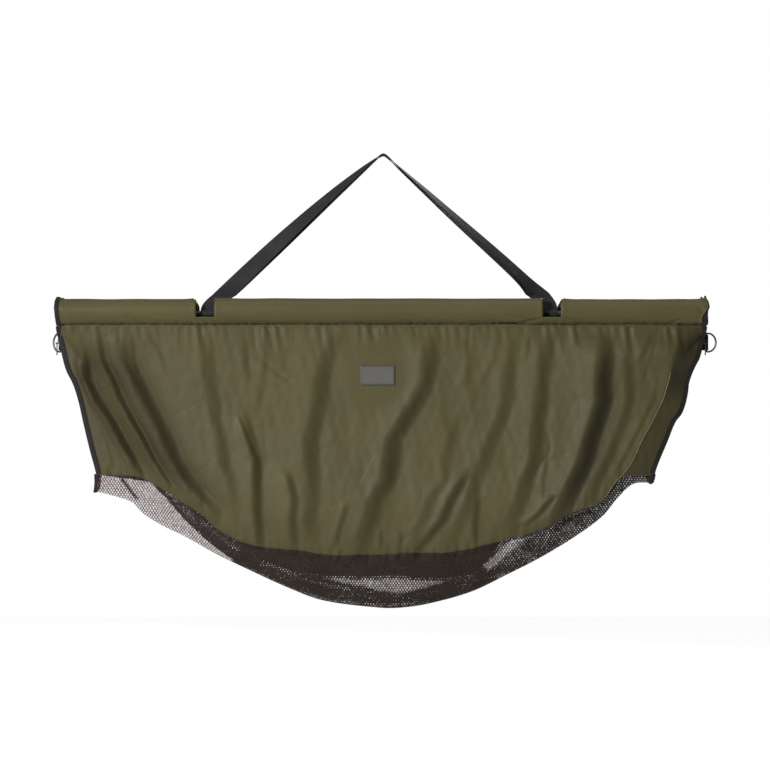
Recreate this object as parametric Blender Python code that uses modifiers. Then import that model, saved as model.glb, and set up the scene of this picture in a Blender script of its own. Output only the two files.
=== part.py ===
"""Buoyant weigh sling for large fish, hanging from the hook point of its two carrying straps.

Two foam-filled sleeves, each with a pole inside, carry a front and a rear fabric panel. A boat-shaped
mesh base joins the panels below, and a zip closes each end. The origin is where a scale's hook bears
on the straps. X runs along the sling, -Y faces the side with the label, and +Z is up. All in metres.
"""

import math

import bmesh
import bpy
import numpy as np
from mathutils import Matrix, Vector

# Whole sling
SLING_LENGTH = 1.198
SLING_SHIFT = -0.0037
HOOK_TO_SLEEVE = 0.2642
CLEARANCE = 0.0003

# Sleeves, poles and floats
SLEEVE_DIAMETER = 0.050
SLEEVE_GAP = 0.012
SLEEVE_WALL = 0.001
POLE_DIAMETER = 0.010
POLE_DROP = 0.0039
POLE_INSET = 0.007
FLOAT_BORE = 0.0165
FLOAT_INSET = 0.002
FLOAT_END_INSET = 0.018
CAP_DIAMETER = 0.0155
CAP_LENGTH = 0.014
CAP_WALL = 0.002
BINDING_WIDTH = 0.008
BINDING_THICKNESS = 0.0008
SLEEVE_SEGMENTS = 32
POLE_SEGMENTS = 16

# Strap notches in the sleeves
NOTCH_SPACING = 0.636
NOTCH_SHIFT = -0.0092
NOTCH_WIDTH = 0.0335
NOTCH_RELIEF = 0.034
NOTCH_RELIEF_DEPTH = 0.003

# Webbing straps
WEBBING_WIDTH = 0.030
WEBBING_THICKNESS = 0.0016
WEBBING_ROUND_HOOK = 0.004
STRAP_HALF_GAP = 0.0050
FOLD_ABOVE_SLEEVE = 0.0055
STRAP_ROWS = 26
LOOP_ROWS = 18
RISE_ROWS = 6
LOOP_TURN = math.radians(300)
EARLY_TWIST_SHARE = 0.75
TWIST_POWER = 5
STRAIGHTEN_SHARE = 0.22
STRAP_ROW_POWER = 1.25
RISE_POWER = 1.4

# Panels
PANEL_THICKNESS = 0.001
PANEL_DEPTH_AT_END = 0.2775
FRONT_SAG = 0.147
REAR_SAG = 0.192
LEFT_DRAW_IN = 0.0742
RIGHT_DRAW_IN = 0.0974
END_HALF_WIDTH = 0.009
HEM_HALF_WIDTH = 0.048
END_FLAT = 0.026
END_REACH = 0.095
TOP_STRIP = 0.0025
TOP_RAMP = 0.0135
RAMP_ROWS = 3
PANEL_COLUMNS = 40
PANEL_ROWS = 14
HULL_POWER = 2.4
EASED_HANG_SHARE = 0.6
FRONT_HEM_SHARES = (
    (0.0, 0.0), (0.06, 0.0), (0.07, 0.0), (0.10, 0.10), (0.15, 0.31), (0.19, 0.49), (0.22, 0.69),
    (0.28, 0.87), (0.35, 0.93), (0.44, 1.0), (0.55, 0.975), (0.63, 0.96), (0.70, 0.865), (0.80, 0.66),
    (0.86, 0.43), (0.905, 0.32), (0.937, 0.04), (0.950, 0.0), (0.960, 0.0), (1.0, 0.0),
)
REAR_HEM_SHARES = (
    (0.0, 0.0), (0.06, 0.0), (0.07, 0.0), (0.10, 0.08), (0.15, 0.27), (0.20, 0.53), (0.25, 0.76),
    (0.29, 0.863), (0.35, 0.932), (0.44, 0.985), (0.545, 0.985), (0.60, 1.0), (0.66, 0.985),
    (0.70, 0.93), (0.745, 0.70), (0.80, 0.53), (0.86, 0.40), (0.905, 0.28), (0.937, 0.04), (0.950, 0.0),
    (0.960, 0.0), (1.0, 0.0),
)

# Folds of the hanging panels: depth and width as shares of the fold sizes, then the fold's line as
# places across and down, in shares of the length at the sleeve and of the depth at the end
FOLD_DEPTH = 0.010
FOLD_WIDTH = 0.018
FOLD_ROOM = 0.024
FOLD_FADE_SHARE = 0.25
FOLD_RIDGE_SHARE = 0.42
FOLD_RIDGE_PLACE_SHARE = 2.1
FOLD_RIDGE_WIDTH_SHARE = 0.9
FRONT_FOLD_SHARES = (
    (0.55, 0.55, ((0.026, 0.308), (0.030, 0.355), (0.059, 0.615), (0.080, 0.921))),
    (0.85, 0.60, ((0.042, 0.074), (0.055, 0.187), (0.091, 0.508), (0.129, 0.768), (0.172, 1.073))),
    (0.95, 0.70, ((0.073, 0.110), (0.091, 0.279), (0.122, 0.554), (0.158, 0.829), (0.221, 1.211))),
    (0.50, 0.90, ((0.234, 0.031), (0.239, 0.763), (0.250, 1.069), (0.277, 1.348))),
    (0.50, 0.60, ((0.280, 0.585), (0.299, 0.768), (0.324, 1.012), (0.316, 1.228))),
    (0.75, 1.30, ((0.430, 0.018), (0.409, 0.218), (0.395, 0.554), (0.384, 0.768), (0.375, 1.295))),
    (1.00, 1.00, ((0.582, 0.027), (0.571, 0.308), (0.553, 0.508), (0.518, 0.676), (0.503, 0.921),
                  (0.486, 1.155), (0.469, 1.470))),
    (0.40, 1.00, ((0.709, 0.204), (0.680, 0.493), (0.659, 0.768), (0.631, 0.997))),
    (0.45, 0.60, ((0.610, 1.043), (0.585, 1.257), (0.553, 1.470))),
    (0.60, 0.80, ((0.750, 0.005), (0.737, 0.337), (0.730, 0.617), (0.722, 0.921))),
    (0.90, 0.80, ((0.821, 0.051), (0.815, 0.311), (0.811, 0.615), (0.801, 0.921), (0.783, 1.226))),
    (0.50, 0.60, ((0.857, 0.430), (0.836, 0.676), (0.822, 0.921), (0.786, 1.165))),
    (0.60, 0.60, ((0.960, 0.279), (0.935, 0.524), (0.900, 0.829), (0.875, 0.966), (0.850, 1.134))),
)
REAR_FOLD_SHARES = (
    (0.60, 0.60, ((0.036, 0.236), (0.069, 0.596), (0.111, 0.957))),
    (0.80, 0.80, ((0.102, 0.092), (0.136, 0.488), (0.178, 0.957), (0.211, 1.245))),
    (0.50, 0.90, ((0.238, 0.020), (0.243, 0.488), (0.261, 1.029))),
    (0.60, 1.20, ((0.336, 0.056), (0.353, 0.596), (0.370, 1.389))),
    (0.50, 1.30, ((0.461, 0.038), (0.457, 0.668), (0.453, 1.533))),
    (0.60, 1.10, ((0.578, 0.128), (0.561, 0.740), (0.536, 1.533))),
    (0.60, 0.80, ((0.754, 0.020), (0.741, 0.596), (0.712, 1.209))),
    (0.80, 0.80, ((0.854, 0.056), (0.829, 0.596), (0.795, 1.209))),
    (0.70, 0.60, ((0.945, 0.200), (0.912, 0.596), (0.870, 1.029))),
)

# Mesh base
BASE_THICKNESS = 0.0008
BASE_BOTTOM_BELOW_HOOK = 0.8379
BASE_LEFT_END_DEPTH = 0.031
BASE_RIGHT_END_DEPTH = 0.014
BASE_ROWS = 14
SEAM_GAP = 0.0006
BELLY_SHARES = (
    (0.0, 0.0), (0.035, 0.045), (0.064, 0.10), (0.08, 0.185), (0.114, 0.29), (0.16, 0.40), (0.215, 0.548),
    (0.261, 0.654), (0.343, 0.832), (0.406, 0.939), (0.507, 1.0), (0.545, 1.0), (0.595, 0.967),
    (0.673, 0.867), (0.736, 0.731), (0.80, 0.584), (0.862, 0.416), (0.909, 0.26), (0.934, 0.126),
    (0.962, 0.01), (1.0, 0.0),
)

# End zips
ZIP_BELOW_SLEEVE = 0.0175
ZIP_END_ABOVE_HEM = 0.004
TAPE_TOP_INSET = 0.004
TAPE_THICKNESS = 0.0008
TAPE_OVERLAP = 0.009
CHAIN_THICKNESS = 0.0026
CHAIN_SIDE = 0.0026
CHAIN_HALF_GAP = 0.0007
SLIDER_TOP_INSET = 0.008
SLIDER_LENGTH = 0.013
SLIDER_PLATE = 0.0012
SLIDER_SIDE_CLEARANCE = 0.0004
SLIDER_LIP = 0.0014
SLIDER_NECK = 0.0006
BAIL_WIRE = 0.0015
BAIL_REACH = 0.0030
PULL_WIDTH = 0.0046
PULL_LENGTH = 0.022
PULL_THICKNESS = 0.0016
PULL_EYE_WALL = 0.0012
PULL_EYE_CLEARANCE = 0.0004
PULL_GRIP_WIDTH = 0.008

# Patches that close the lower ends of the zips
PATCH_THICKNESS = 0.0014
PATCH_WRAP = 0.012
PATCH_COLUMNS = 4

# D-rings and their webbing tabs
RING_HEIGHT = 0.038
RING_DEPTH = 0.0217
RING_WIRE = 0.0038
RING_BELOW_SLEEVE = 0.0317
RING_CORNER = 0.004
RING_ARC_POINTS = 16
RING_BOW_SHARE = 0.85
LEFT_TAB_REACH = -0.0027
RIGHT_TAB_REACH = 0.0045
LEFT_RING_TURN = math.radians(37)
TAB_HEIGHT = 0.029
TAB_SEWN_LENGTH = 0.024
TAB_THICKNESS = 0.0016
TAB_TAPER = 0.009
TAB_TURN_ROWS = 8

# Blank woven label
LABEL_WIDTH = 0.0645
LABEL_HEIGHT = 0.037
LABEL_THICKNESS = 0.0009
LABEL_SHIFT = -0.0074
LABEL_BELOW_SLEEVE = 0.0925
LABEL_LIFT = 0.0008
LABEL_CALM = 0.045
LABEL_COLUMNS = 6
LABEL_ROWS = 4

# Values that follow from the sizes above
SLEEVE_RADIUS = SLEEVE_DIAMETER / 2
POLE_RADIUS = POLE_DIAMETER / 2
SLEEVE_Y = (SLEEVE_GAP + SLEEVE_DIAMETER) / 2
SLEEVE_Z = -(HOOK_TO_SLEEVE + SLEEVE_RADIUS)
SLEEVE_BOTTOM_Z = SLEEVE_Z - SLEEVE_RADIUS
POLE_Z = SLEEVE_Z - POLE_DROP
LEFT_X = SLING_SHIFT - SLING_LENGTH / 2
RIGHT_X = SLING_SHIFT + SLING_LENGTH / 2
PANEL_TOP_Z = SLEEVE_BOTTOM_Z - CLEARANCE
CORNER_Z = SLEEVE_BOTTOM_Z - PANEL_DEPTH_AT_END
ZIP_TOP_Z = SLEEVE_BOTTOM_Z - ZIP_BELOW_SLEEVE
RING_Z = SLEEVE_BOTTOM_Z - RING_BELOW_SLEEVE
LOOP_RADIUS = POLE_RADIUS + CLEARANCE + WEBBING_THICKNESS / 2
NESTED_HALF_GAP = (WEBBING_THICKNESS + CLEARANCE) / 2
FOLD_Z = SLEEVE_Z + SLEEVE_RADIUS + FOLD_ABOVE_SLEEVE
STRAP_APEX_Z = WEBBING_THICKNESS + CLEARANCE / 2
TAPE_MID = CLEARANCE + TAPE_THICKNESS / 2
SIDES = {"front": -1, "rear": 1}
ENDS = {"left": -1, "right": 1}
NOTCH_X = {end: NOTCH_SHIFT + sign * NOTCH_SPACING / 2 for end, sign in ENDS.items()}
END_X = {"left": LEFT_X, "right": RIGHT_X}
CORNER_X = {"left": LEFT_X + LEFT_DRAW_IN, "right": RIGHT_X - RIGHT_DRAW_IN}


def new_collection(name):
    group = bpy.data.collections.new(name)
    bpy.context.scene.collection.children.link(group)
    return group


def clear_scene():
    for old in list(bpy.data.objects):
        bpy.data.objects.remove(old, do_unlink=True)


clear_scene()
SLING = new_collection("weigh_sling")
CUTTERS = new_collection("cutters")


def material(name, colour, roughness, metallic=0.0):
    made = bpy.data.materials.new(name)
    made.use_nodes = True
    shader = made.node_tree.nodes["Principled BSDF"]
    shader.inputs["Base Color"].default_value = (*colour, 1.0)
    shader.inputs["Roughness"].default_value = roughness
    shader.inputs["Metallic"].default_value = metallic
    made.diffuse_color = (*colour, 1.0)
    return made


OLIVE = material("coated_olive_cloth", (0.098, 0.089, 0.046), 0.55)
MESH = material("brown_mesh", (0.036, 0.025, 0.024), 0.8)
WEBBING = material("charcoal_webbing", (0.040, 0.040, 0.043), 0.75)
TAPE = material("black_zip_tape", (0.022, 0.018, 0.015), 0.8)
FOAM = material("closed_cell_foam", (0.050, 0.050, 0.052), 0.9)
POLE = material("black_glass_fibre", (0.020, 0.020, 0.022), 0.35)
CAP = material("black_rubber", (0.015, 0.015, 0.015), 0.7)
GUNMETAL = material("gunmetal", (0.12, 0.12, 0.13), 0.35, 1.0)
LABEL = material("grey_woven_label", (0.17, 0.155, 0.14), 0.8)


def place_object(name, mesh, finish, group=SLING):
    made = bpy.data.objects.new(name, mesh)
    mesh.materials.append(finish)
    group.objects.link(made)
    return made


def smooth_edges(made, angle=math.radians(40)):
    made.data.shade_smooth()
    made.data.set_sharp_from_angle(angle=angle)


def eased(share):
    """A smooth step from 0 to 1."""
    share = min(1.0, max(0.0, share))
    return share * share * (3 - 2 * share)


def between(low, high, share):
    return low + (high - low) * share


def read_shares(shares, at):
    """A smooth curve through a table of (place, height) shares, with Catmull-Rom slopes."""
    places = [place for place, _ in shares]
    heights = [height for _, height in shares]
    k = min(len(places) - 2, max(0, int(np.searchsorted(places, at)) - 1))
    before, after = max(0, k - 1), min(len(places) - 1, k + 2)
    run = places[k + 1] - places[k]
    slope_in = (heights[k + 1] - heights[before]) / (places[k + 1] - places[before]) * run
    slope_out = (heights[after] - heights[k]) / (places[after] - places[k]) * run
    t = (at - places[k]) / run
    return (
        (2 * t**3 - 3 * t**2 + 1) * heights[k] + (t**3 - 2 * t**2 + t) * slope_in
        + (3 * t**2 - 2 * t**3) * heights[k + 1] + (t**3 - t**2) * slope_out
    )


def sheet(name, place, columns, rows, thickness, finish):
    """A cloth-like solid: a grid laid out by place(across, down), shares 0 to 1, given a thickness."""
    bm = bmesh.new()
    bmesh.ops.create_grid(bm, x_segments=columns, y_segments=rows, size=0.5)
    for vert in bm.verts:
        column = round((vert.co.x + 0.5) * columns)
        row = round((0.5 - vert.co.y) * rows)
        vert.co = place(column / columns, row / rows)
    bm.normal_update()
    mesh = bpy.data.meshes.new(name)
    bm.to_mesh(mesh)
    bm.free()
    made = place_object(name, mesh, finish)
    wall = made.modifiers.new("thickness", "SOLIDIFY")
    wall.thickness = thickness
    wall.offset = 0.0
    wall.use_even_offset = True
    smooth_edges(made)
    return made


def cylinder_along_x(name, radius, length, segments, finish, group=SLING, caps=True):
    bm = bmesh.new()
    bmesh.ops.create_cone(
        bm, cap_ends=caps, segments=segments, radius1=radius, radius2=radius, depth=length,
        matrix=Matrix.Rotation(math.pi / 2, 4, "Y"),
    )
    mesh = bpy.data.meshes.new(name)
    bm.to_mesh(mesh)
    bm.free()
    made = place_object(name, mesh, finish, group)
    smooth_edges(made)
    return made


def hide_cutter(cutter):
    cutter.hide_render = True
    cutter.display_type = "WIRE"
    return cutter


def box_cutter(name, low, high):
    bm = bmesh.new()
    bmesh.ops.create_cube(bm, size=1.0)
    middle = (Vector(low) + Vector(high)) / 2
    size = Vector(high) - Vector(low)
    for vert in bm.verts:
        vert.co = middle + Vector([share * side for share, side in zip(vert.co, size)])
    mesh = bpy.data.meshes.new(name)
    bm.to_mesh(mesh)
    bm.free()
    return hide_cutter(place_object(name, mesh, CAP, CUTTERS))


def cut(made, cutter, operation="DIFFERENCE"):
    step = made.modifiers.new(cutter.name, "BOOLEAN")
    step.object = cutter
    step.operation = operation


def outline_solid(name, points, thickness, finish, group=SLING, hole=None):
    """A flat closed outline in its own X and Y, thickened along its Z."""
    curve = bpy.data.curves.new(name, "CURVE")
    curve.dimensions = "2D"
    curve.fill_mode = "BOTH"
    curve.extrude = thickness / 2
    for ring in [points] + ([hole] if hole else []):
        spline = curve.splines.new("POLY")
        spline.points.add(len(ring) - 1)
        for point, (x, y) in zip(spline.points, ring):
            point.co = (x, y, 0.0, 1.0)
        spline.use_cyclic_u = True
    return place_object(name, curve, finish, group)


def as_mesh(made):
    """The same object with its curve made a welded mesh."""
    evaluated = made.evaluated_get(bpy.context.evaluated_depsgraph_get())
    mesh = bpy.data.meshes.new_from_object(evaluated)
    bm = bmesh.new()
    bm.from_mesh(mesh)
    bmesh.ops.remove_doubles(bm, verts=bm.verts, dist=CLEARANCE / 100)
    bm.to_mesh(mesh)
    bm.free()
    name, place, group = made.name, made.matrix_world.copy(), made.users_collection[0]
    bpy.data.objects.remove(made, do_unlink=True)
    welded = bpy.data.objects.new(name, mesh)
    welded.matrix_world = place
    group.objects.link(welded)
    return welded


# Sleeves: a closed fabric tube along the top of each panel, notched where the strap comes out

def notch_cutters(side, end):
    """The notch over the pole, and the dent on its inner side where the strap leans against the foam."""
    sign, towards_middle = SIDES[side], -ENDS[end]
    reach = SLEEVE_DIAMETER
    floor = POLE_Z - LOOP_RADIUS - WEBBING_THICKNESS / 2 - CLEARANCE
    half = NOTCH_WIDTH / 2
    notch = box_cutter(
        f"notch_{side}_{end}",
        (NOTCH_X[end] - half, sign * SLEEVE_Y - reach, floor),
        (NOTCH_X[end] + half, sign * SLEEVE_Y + reach, SLEEVE_Z + reach),
    )
    near = NOTCH_X[end] + towards_middle * (half - CLEARANCE)
    far = NOTCH_X[end] + towards_middle * (half + NOTCH_RELIEF)
    crest = sign * (SLEEVE_Y - NOTCH_RELIEF_DEPTH)
    inner = sign * (SLEEVE_Y - reach)
    dent = box_cutter(
        f"dent_{side}_{end}",
        (min(near, far), min(crest, inner), POLE_Z),
        (max(near, far), max(crest, inner), SLEEVE_Z + reach),
    )
    return notch, dent


def sleeve(side):
    made = cylinder_along_x(f"{side}_sleeve", SLEEVE_RADIUS, SLING_LENGTH, SLEEVE_SEGMENTS, OLIVE)
    made.location = (SLING_SHIFT, SIDES[side] * SLEEVE_Y, SLEEVE_Z)
    wall = made.modifiers.new("wall", "SOLIDIFY")
    wall.thickness = SLEEVE_WALL
    wall.offset = -1.0
    for end in ENDS:
        for cutter in notch_cutters(side, end):
            cut(made, cutter)


# Floats: three lengths of closed-cell foam in each sleeve, bored for the pole

def float_spans():
    half = NOTCH_WIDTH / 2 + FLOAT_INSET
    return {
        "left": (LEFT_X + FLOAT_END_INSET, NOTCH_X["left"] - half),
        "middle": (NOTCH_X["left"] + half, NOTCH_X["right"] - half),
        "right": (NOTCH_X["right"] + half, RIGHT_X - FLOAT_END_INSET),
    }


def floats(side):
    radius = SLEEVE_RADIUS - SLEEVE_WALL - CLEARANCE
    bore = cylinder_along_x(
        f"bore_{side}", FLOAT_BORE / 2, SLING_LENGTH, POLE_SEGMENTS, CAP, CUTTERS
    )
    bore.location = (SLING_SHIFT, SIDES[side] * SLEEVE_Y, POLE_Z)
    hide_cutter(bore)
    for place, (low, high) in float_spans().items():
        made = cylinder_along_x(f"{side}_float_{place}", radius, high - low, SLEEVE_SEGMENTS, FOAM)
        made.location = ((low + high) / 2, SIDES[side] * SLEEVE_Y, SLEEVE_Z)
        cut(made, bore)
        if place == "middle":
            for end in ENDS:
                cut(made, bpy.data.objects[f"dent_{side}_{end}"])


# Poles with a rubber cap pushed over each end

def pole(side):
    made = cylinder_along_x(
        f"{side}_pole", POLE_RADIUS, SLING_LENGTH - 2 * POLE_INSET, POLE_SEGMENTS, POLE
    )
    made.location = (SLING_SHIFT, SIDES[side] * SLEEVE_Y, POLE_Z)


def pole_cap(side, end):
    """A turned cup, open towards the pole, with its closed end outwards."""
    name = f"{side}_pole_cap_{end}"
    outer, inner = CAP_DIAMETER / 2, POLE_RADIUS + CLEARANCE
    profile = (
        (0.0, CAP_WALL), (outer, CAP_WALL), (outer, CAP_WALL - CAP_LENGTH),
        (inner, CAP_WALL - CAP_LENGTH), (inner, CLEARANCE), (0.0, CLEARANCE),
    )
    bm = bmesh.new()
    verts = [bm.verts.new((radius, 0.0, along)) for radius, along in profile]
    for first, second in zip(verts, verts[1:]):
        bm.edges.new((first, second))
    mesh = bpy.data.meshes.new(name)
    bm.to_mesh(mesh)
    bm.free()
    made = place_object(name, mesh, CAP)
    turn = made.modifiers.new("turn", "SCREW")
    turn.steps = turn.render_steps = POLE_SEGMENTS
    turn.use_merge_vertices = True
    turn.merge_threshold = CLEARANCE / 10
    pole_end = SLING_SHIFT + ENDS[end] * (SLING_LENGTH / 2 - POLE_INSET)
    made.location = (pole_end, SIDES[side] * SLEEVE_Y, POLE_Z)
    made.rotation_euler = (0.0, ENDS[end] * math.pi / 2, 0.0)


# Black binding tape round each end of each sleeve

def sleeve_binding(side, end):
    radius = SLEEVE_RADIUS + CLEARANCE + BINDING_THICKNESS
    made = cylinder_along_x(
        f"{side}_binding_{end}", radius, BINDING_WIDTH, SLEEVE_SEGMENTS, TAPE, caps=False
    )
    wall = made.modifiers.new("wall", "SOLIDIFY")
    wall.thickness = BINDING_THICKNESS
    wall.offset = -1.0
    place = END_X[end] - ENDS[end] * BINDING_WIDTH / 2
    made.location = (place, SIDES[side] * SLEEVE_Y, SLEEVE_Z)
    gap = PANEL_THICKNESS / 2 + 2 * CLEARANCE
    y = SIDES[side] * SLEEVE_Y
    cut(made, box_cutter(
        f"binding_gap_{side}_{end}",
        (place - BINDING_WIDTH, y - gap, SLEEVE_BOTTOM_Z - SLEEVE_RADIUS),
        (place + BINDING_WIDTH, y + gap, SLEEVE_Z),
    ))


# Webbing straps

def strap_line(end, x):
    """Height and slope angle of the straps' middle line at x: two straight arms, rounded at the hook."""
    drop = STRAP_APEX_Z - POLE_Z
    steepness = math.sqrt((drop + WEBBING_ROUND_HOOK) ** 2 - WEBBING_ROUND_HOOK**2) / abs(NOTCH_X[end])
    root = math.hypot(steepness * x, WEBBING_ROUND_HOOK)
    return STRAP_APEX_Z - root + WEBBING_ROUND_HOOK, math.atan(-(steepness**2) * x / root)


def strap_section(side, end, x):
    """Centre and half-width vector of one strap's webbing where the middle line is at x.

    The webbing faces the front at the sleeve and turns edge-on at the hook, where the front strap
    lies on the rear one. Near the sleeve its cross lines are level, so that it folds level there.
    """
    height, angle = strap_line(end, x)
    share = (height - FOLD_Z) / (STRAP_APEX_Z - FOLD_Z)
    share = min(1.0, max(0.0, share))
    twist = math.pi / 2 * (EARLY_TWIST_SHARE * share + (1 - EARLY_TWIST_SHARE) * share**TWIST_POWER)
    along = Vector((math.cos(angle), 0.0, math.sin(angle)))
    below = Vector((math.sin(angle), 0.0, -math.cos(angle)))
    across = Vector((0.0, 1.0, 0.0))
    facing = math.cos(twist) * across + math.sin(twist) * below
    half = WEBBING_WIDTH / 2
    width = half * (math.cos(twist) * below - math.sin(twist) * across)
    level = 1 - eased(share / STRAIGHTEN_SHARE)
    if level > 0:
        width = width + along * (half * level * math.cos(twist) / math.tan(angle))
    gap = between(STRAP_HALF_GAP, NESTED_HALF_GAP, share)
    centre = Vector((x, 0.0, height)) + SIDES[side] * gap * facing
    return centre, width


def x_at_height(end, height):
    """The middle line's x where it passes a height, worked back from strap_line."""
    drop = STRAP_APEX_Z - POLE_Z
    steepness = math.sqrt((drop + WEBBING_ROUND_HOOK) ** 2 - WEBBING_ROUND_HOOK**2) / abs(NOTCH_X[end])
    root = STRAP_APEX_Z + WEBBING_ROUND_HOOK - height
    return ENDS[end] * math.sqrt(max(0.0, root**2 - WEBBING_ROUND_HOOK**2)) / steepness


def strap(side):
    """Both arms of one strap, from the fold above one sleeve notch over the hook to the other."""
    starts = {end: x_at_height(end, FOLD_Z) for end in ENDS}

    def place(across, along):
        end = "left" if along < 0.5 else "right"
        x = starts[end] * abs(2 * along - 1) ** STRAP_ROW_POWER
        centre, width = strap_section(side, end, x)
        return centre + (2 * across - 1) * width

    return sheet(f"{side}_strap", place, 1, STRAP_ROWS * 2, WEBBING_THICKNESS, WEBBING)


def strap_loop(side, end):
    """The lower end of a strap: round the pole and up through the notch to the fold."""
    sign = SIDES[side]
    start = x_at_height(end, FOLD_Z)
    top_centre, top_width = strap_section(side, end, start)
    # The width vector of the fold points the same way along X as the one at the pole
    top_width = top_width * math.copysign(1.0, top_width.x)
    rows = LOOP_ROWS + RISE_ROWS
    low_width = Vector((WEBBING_WIDTH / 2, 0.0, 0.0))
    low_centre = Vector((NOTCH_X[end], sign * (SLEEVE_Y - LOOP_RADIUS), POLE_Z))
    top_centre = top_centre - Vector((0.0, 0.0, CLEARANCE))

    def place(across, along):
        row = along * rows
        if row <= LOOP_ROWS:
            turn = LOOP_TURN * (1 - row / LOOP_ROWS)
            centre = Vector((
                NOTCH_X[end],
                sign * (SLEEVE_Y - LOOP_RADIUS * math.cos(turn)),
                POLE_Z - LOOP_RADIUS * math.sin(turn),
            ))
            width = low_width
        else:
            share = (row - LOOP_ROWS) / RISE_ROWS
            centre = Vector((
                between(low_centre.x, top_centre.x, share**RISE_POWER),
                between(low_centre.y, top_centre.y, eased(share)),
                between(low_centre.z, top_centre.z, share),
            ))
            width = low_width.lerp(top_width, share)
        return centre + (2 * across - 1) * width

    return sheet(f"{side}_strap_loop_{end}", place, 1, rows, WEBBING_THICKNESS, WEBBING)


# Panels

def end_x(end, height):
    """The sling's end edge: straight down at the sleeve, then along the slanting zip."""
    share = min(1.0, max(0.0, (ZIP_TOP_Z - height) / (ZIP_TOP_Z - CORNER_Z)))
    return between(END_X[end], CORNER_X[end], share)


def hem_height(side, across):
    if side == "front":
        return CORNER_Z - FRONT_SAG * read_shares(FRONT_HEM_SHARES, across)
    return CORNER_Z - REAR_SAG * read_shares(REAR_HEM_SHARES, across)


def column_share(across):
    """Columns stand closer near the ends, after two that bound the flat strip under the zip."""
    spread = between(across, 0.5 - 0.5 * math.cos(math.pi * across), 0.5)
    flat = END_FLAT / SLING_LENGTH
    return between(flat, 1 - flat, spread)


def across_share(column):
    """The share across the panel of a numbered grid column."""
    inner = PANEL_COLUMNS - 4
    flat = END_FLAT / SLING_LENGTH
    if column <= 2:
        return flat * column / 2
    if column >= PANEL_COLUMNS - 2:
        return 1 - flat * (PANEL_COLUMNS - column) / 2
    return column_share((column - 2) / inner)


def fold_depth(side, x, height):
    """How far the folds draw the cloth inwards at a place: a valley with a low ridge on each side."""
    across = (x - LEFT_X) / SLING_LENGTH
    down = (PANEL_TOP_Z - height) / PANEL_DEPTH_AT_END
    total = 0.0
    for depth, width, line in FRONT_FOLD_SHARES if side == "front" else REAR_FOLD_SHARES:
        places, heights = zip(*line)
        along = (down - heights[0]) / (heights[-1] - heights[0])
        fade = eased((along / FOLD_FADE_SHARE + 1) / 2) * eased(((1 - along) / FOLD_FADE_SHARE + 1) / 2)
        middle = float(np.interp(down, heights, places))
        away = abs(across - middle) * SLING_LENGTH / (FOLD_WIDTH * width)
        ridge = (away - FOLD_RIDGE_PLACE_SHARE) / FOLD_RIDGE_WIDTH_SHARE
        shape = math.exp(-away**2 / 2) - FOLD_RIDGE_SHARE * math.exp(-ridge**2 / 2)
        total += FOLD_DEPTH * depth * fade * shape
    return total


def panel_half_width(side, across, height):
    """The panel's distance from the sling's middle plane."""
    left, right = end_x("left", height), end_x("right", height)
    x = between(left, right, across)
    hem = hem_height(side, across)
    down = (PANEL_TOP_Z - height) / (PANEL_TOP_Z - hem)
    hull = 1 - abs(2 * across - 1) ** HULL_POWER
    foot = between(END_HALF_WIDTH, HEM_HALF_WIDTH, hull)
    hanging = between(SLEEVE_Y, foot, between(down, eased(down), EASED_HANG_SHARE))
    from_end = min(x - left, right - x)
    pull = math.exp(-((max(0.0, from_end - END_FLAT) / END_REACH) ** 2))
    free = eased((from_end - END_FLAT) / END_FLAT)
    label_away = math.hypot(x - SLING_SHIFT - LABEL_SHIFT, height - label_middle_z()) / LABEL_CALM
    calm = eased(label_away - 1) if side == "front" else 1.0
    ramp = eased((PANEL_TOP_Z - TOP_STRIP - height) / TOP_RAMP)
    half = between(hanging, END_HALF_WIDTH, pull)
    half -= fold_depth(side, x, height) * free * calm * min(1.0, half / FOLD_ROOM)
    return between(SLEEVE_Y, half, ramp)


def panel_point(side, across, row):
    hem = hem_height(side, across)
    ramp_top = PANEL_TOP_Z - TOP_STRIP
    if row == 0:
        height = PANEL_TOP_Z
    elif row <= RAMP_ROWS + 1:
        height = ramp_top - TOP_RAMP * (row - 1) / RAMP_ROWS
    else:
        share = (row - RAMP_ROWS - 1) / (PANEL_ROWS - RAMP_ROWS - 1)
        height = between(ramp_top - TOP_RAMP, hem, share)
    x = between(end_x("left", height), end_x("right", height), across)
    return Vector((x, SIDES[side] * panel_half_width(side, across, height), height))


def panel(side):
    def place(across, down):
        share = across_share(round(across * PANEL_COLUMNS))
        return panel_point(side, share, round(down * PANEL_ROWS))

    return sheet(f"{side}_panel", place, PANEL_COLUMNS, PANEL_ROWS, PANEL_THICKNESS, OLIVE)


# Mesh base: a U-shaped boat of netting between the two hems

def base_bottom(across):
    end = CORNER_Z - between(BASE_LEFT_END_DEPTH, BASE_RIGHT_END_DEPTH, across)
    return between(end, -BASE_BOTTOM_BELOW_HOOK, read_shares(BELLY_SHARES, across))


def base_point(across, round_share):
    """A point of the base: across the sling, and round its U from the front hem to the rear one."""
    angle = math.pi * (round_share - 0.5)
    side = "front" if angle < 0 else "rear"
    rim = panel_point(side, across, PANEL_ROWS)
    rim.z -= SEAM_GAP
    bottom = base_bottom(across)
    rise = 1 - math.cos(angle)
    return Vector((rim.x, rim.y * abs(math.sin(angle)), between(bottom, rim.z, rise)))


def mesh_base():
    def place(across, down):
        return base_point(across_share(round(across * PANEL_COLUMNS)), down)

    return sheet("mesh_base", place, PANEL_COLUMNS, BASE_ROWS, BASE_THICKNESS, MESH)


# End zips. Their parts are shaped in a zip frame: X outwards, Y across, Z up along the zip

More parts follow.
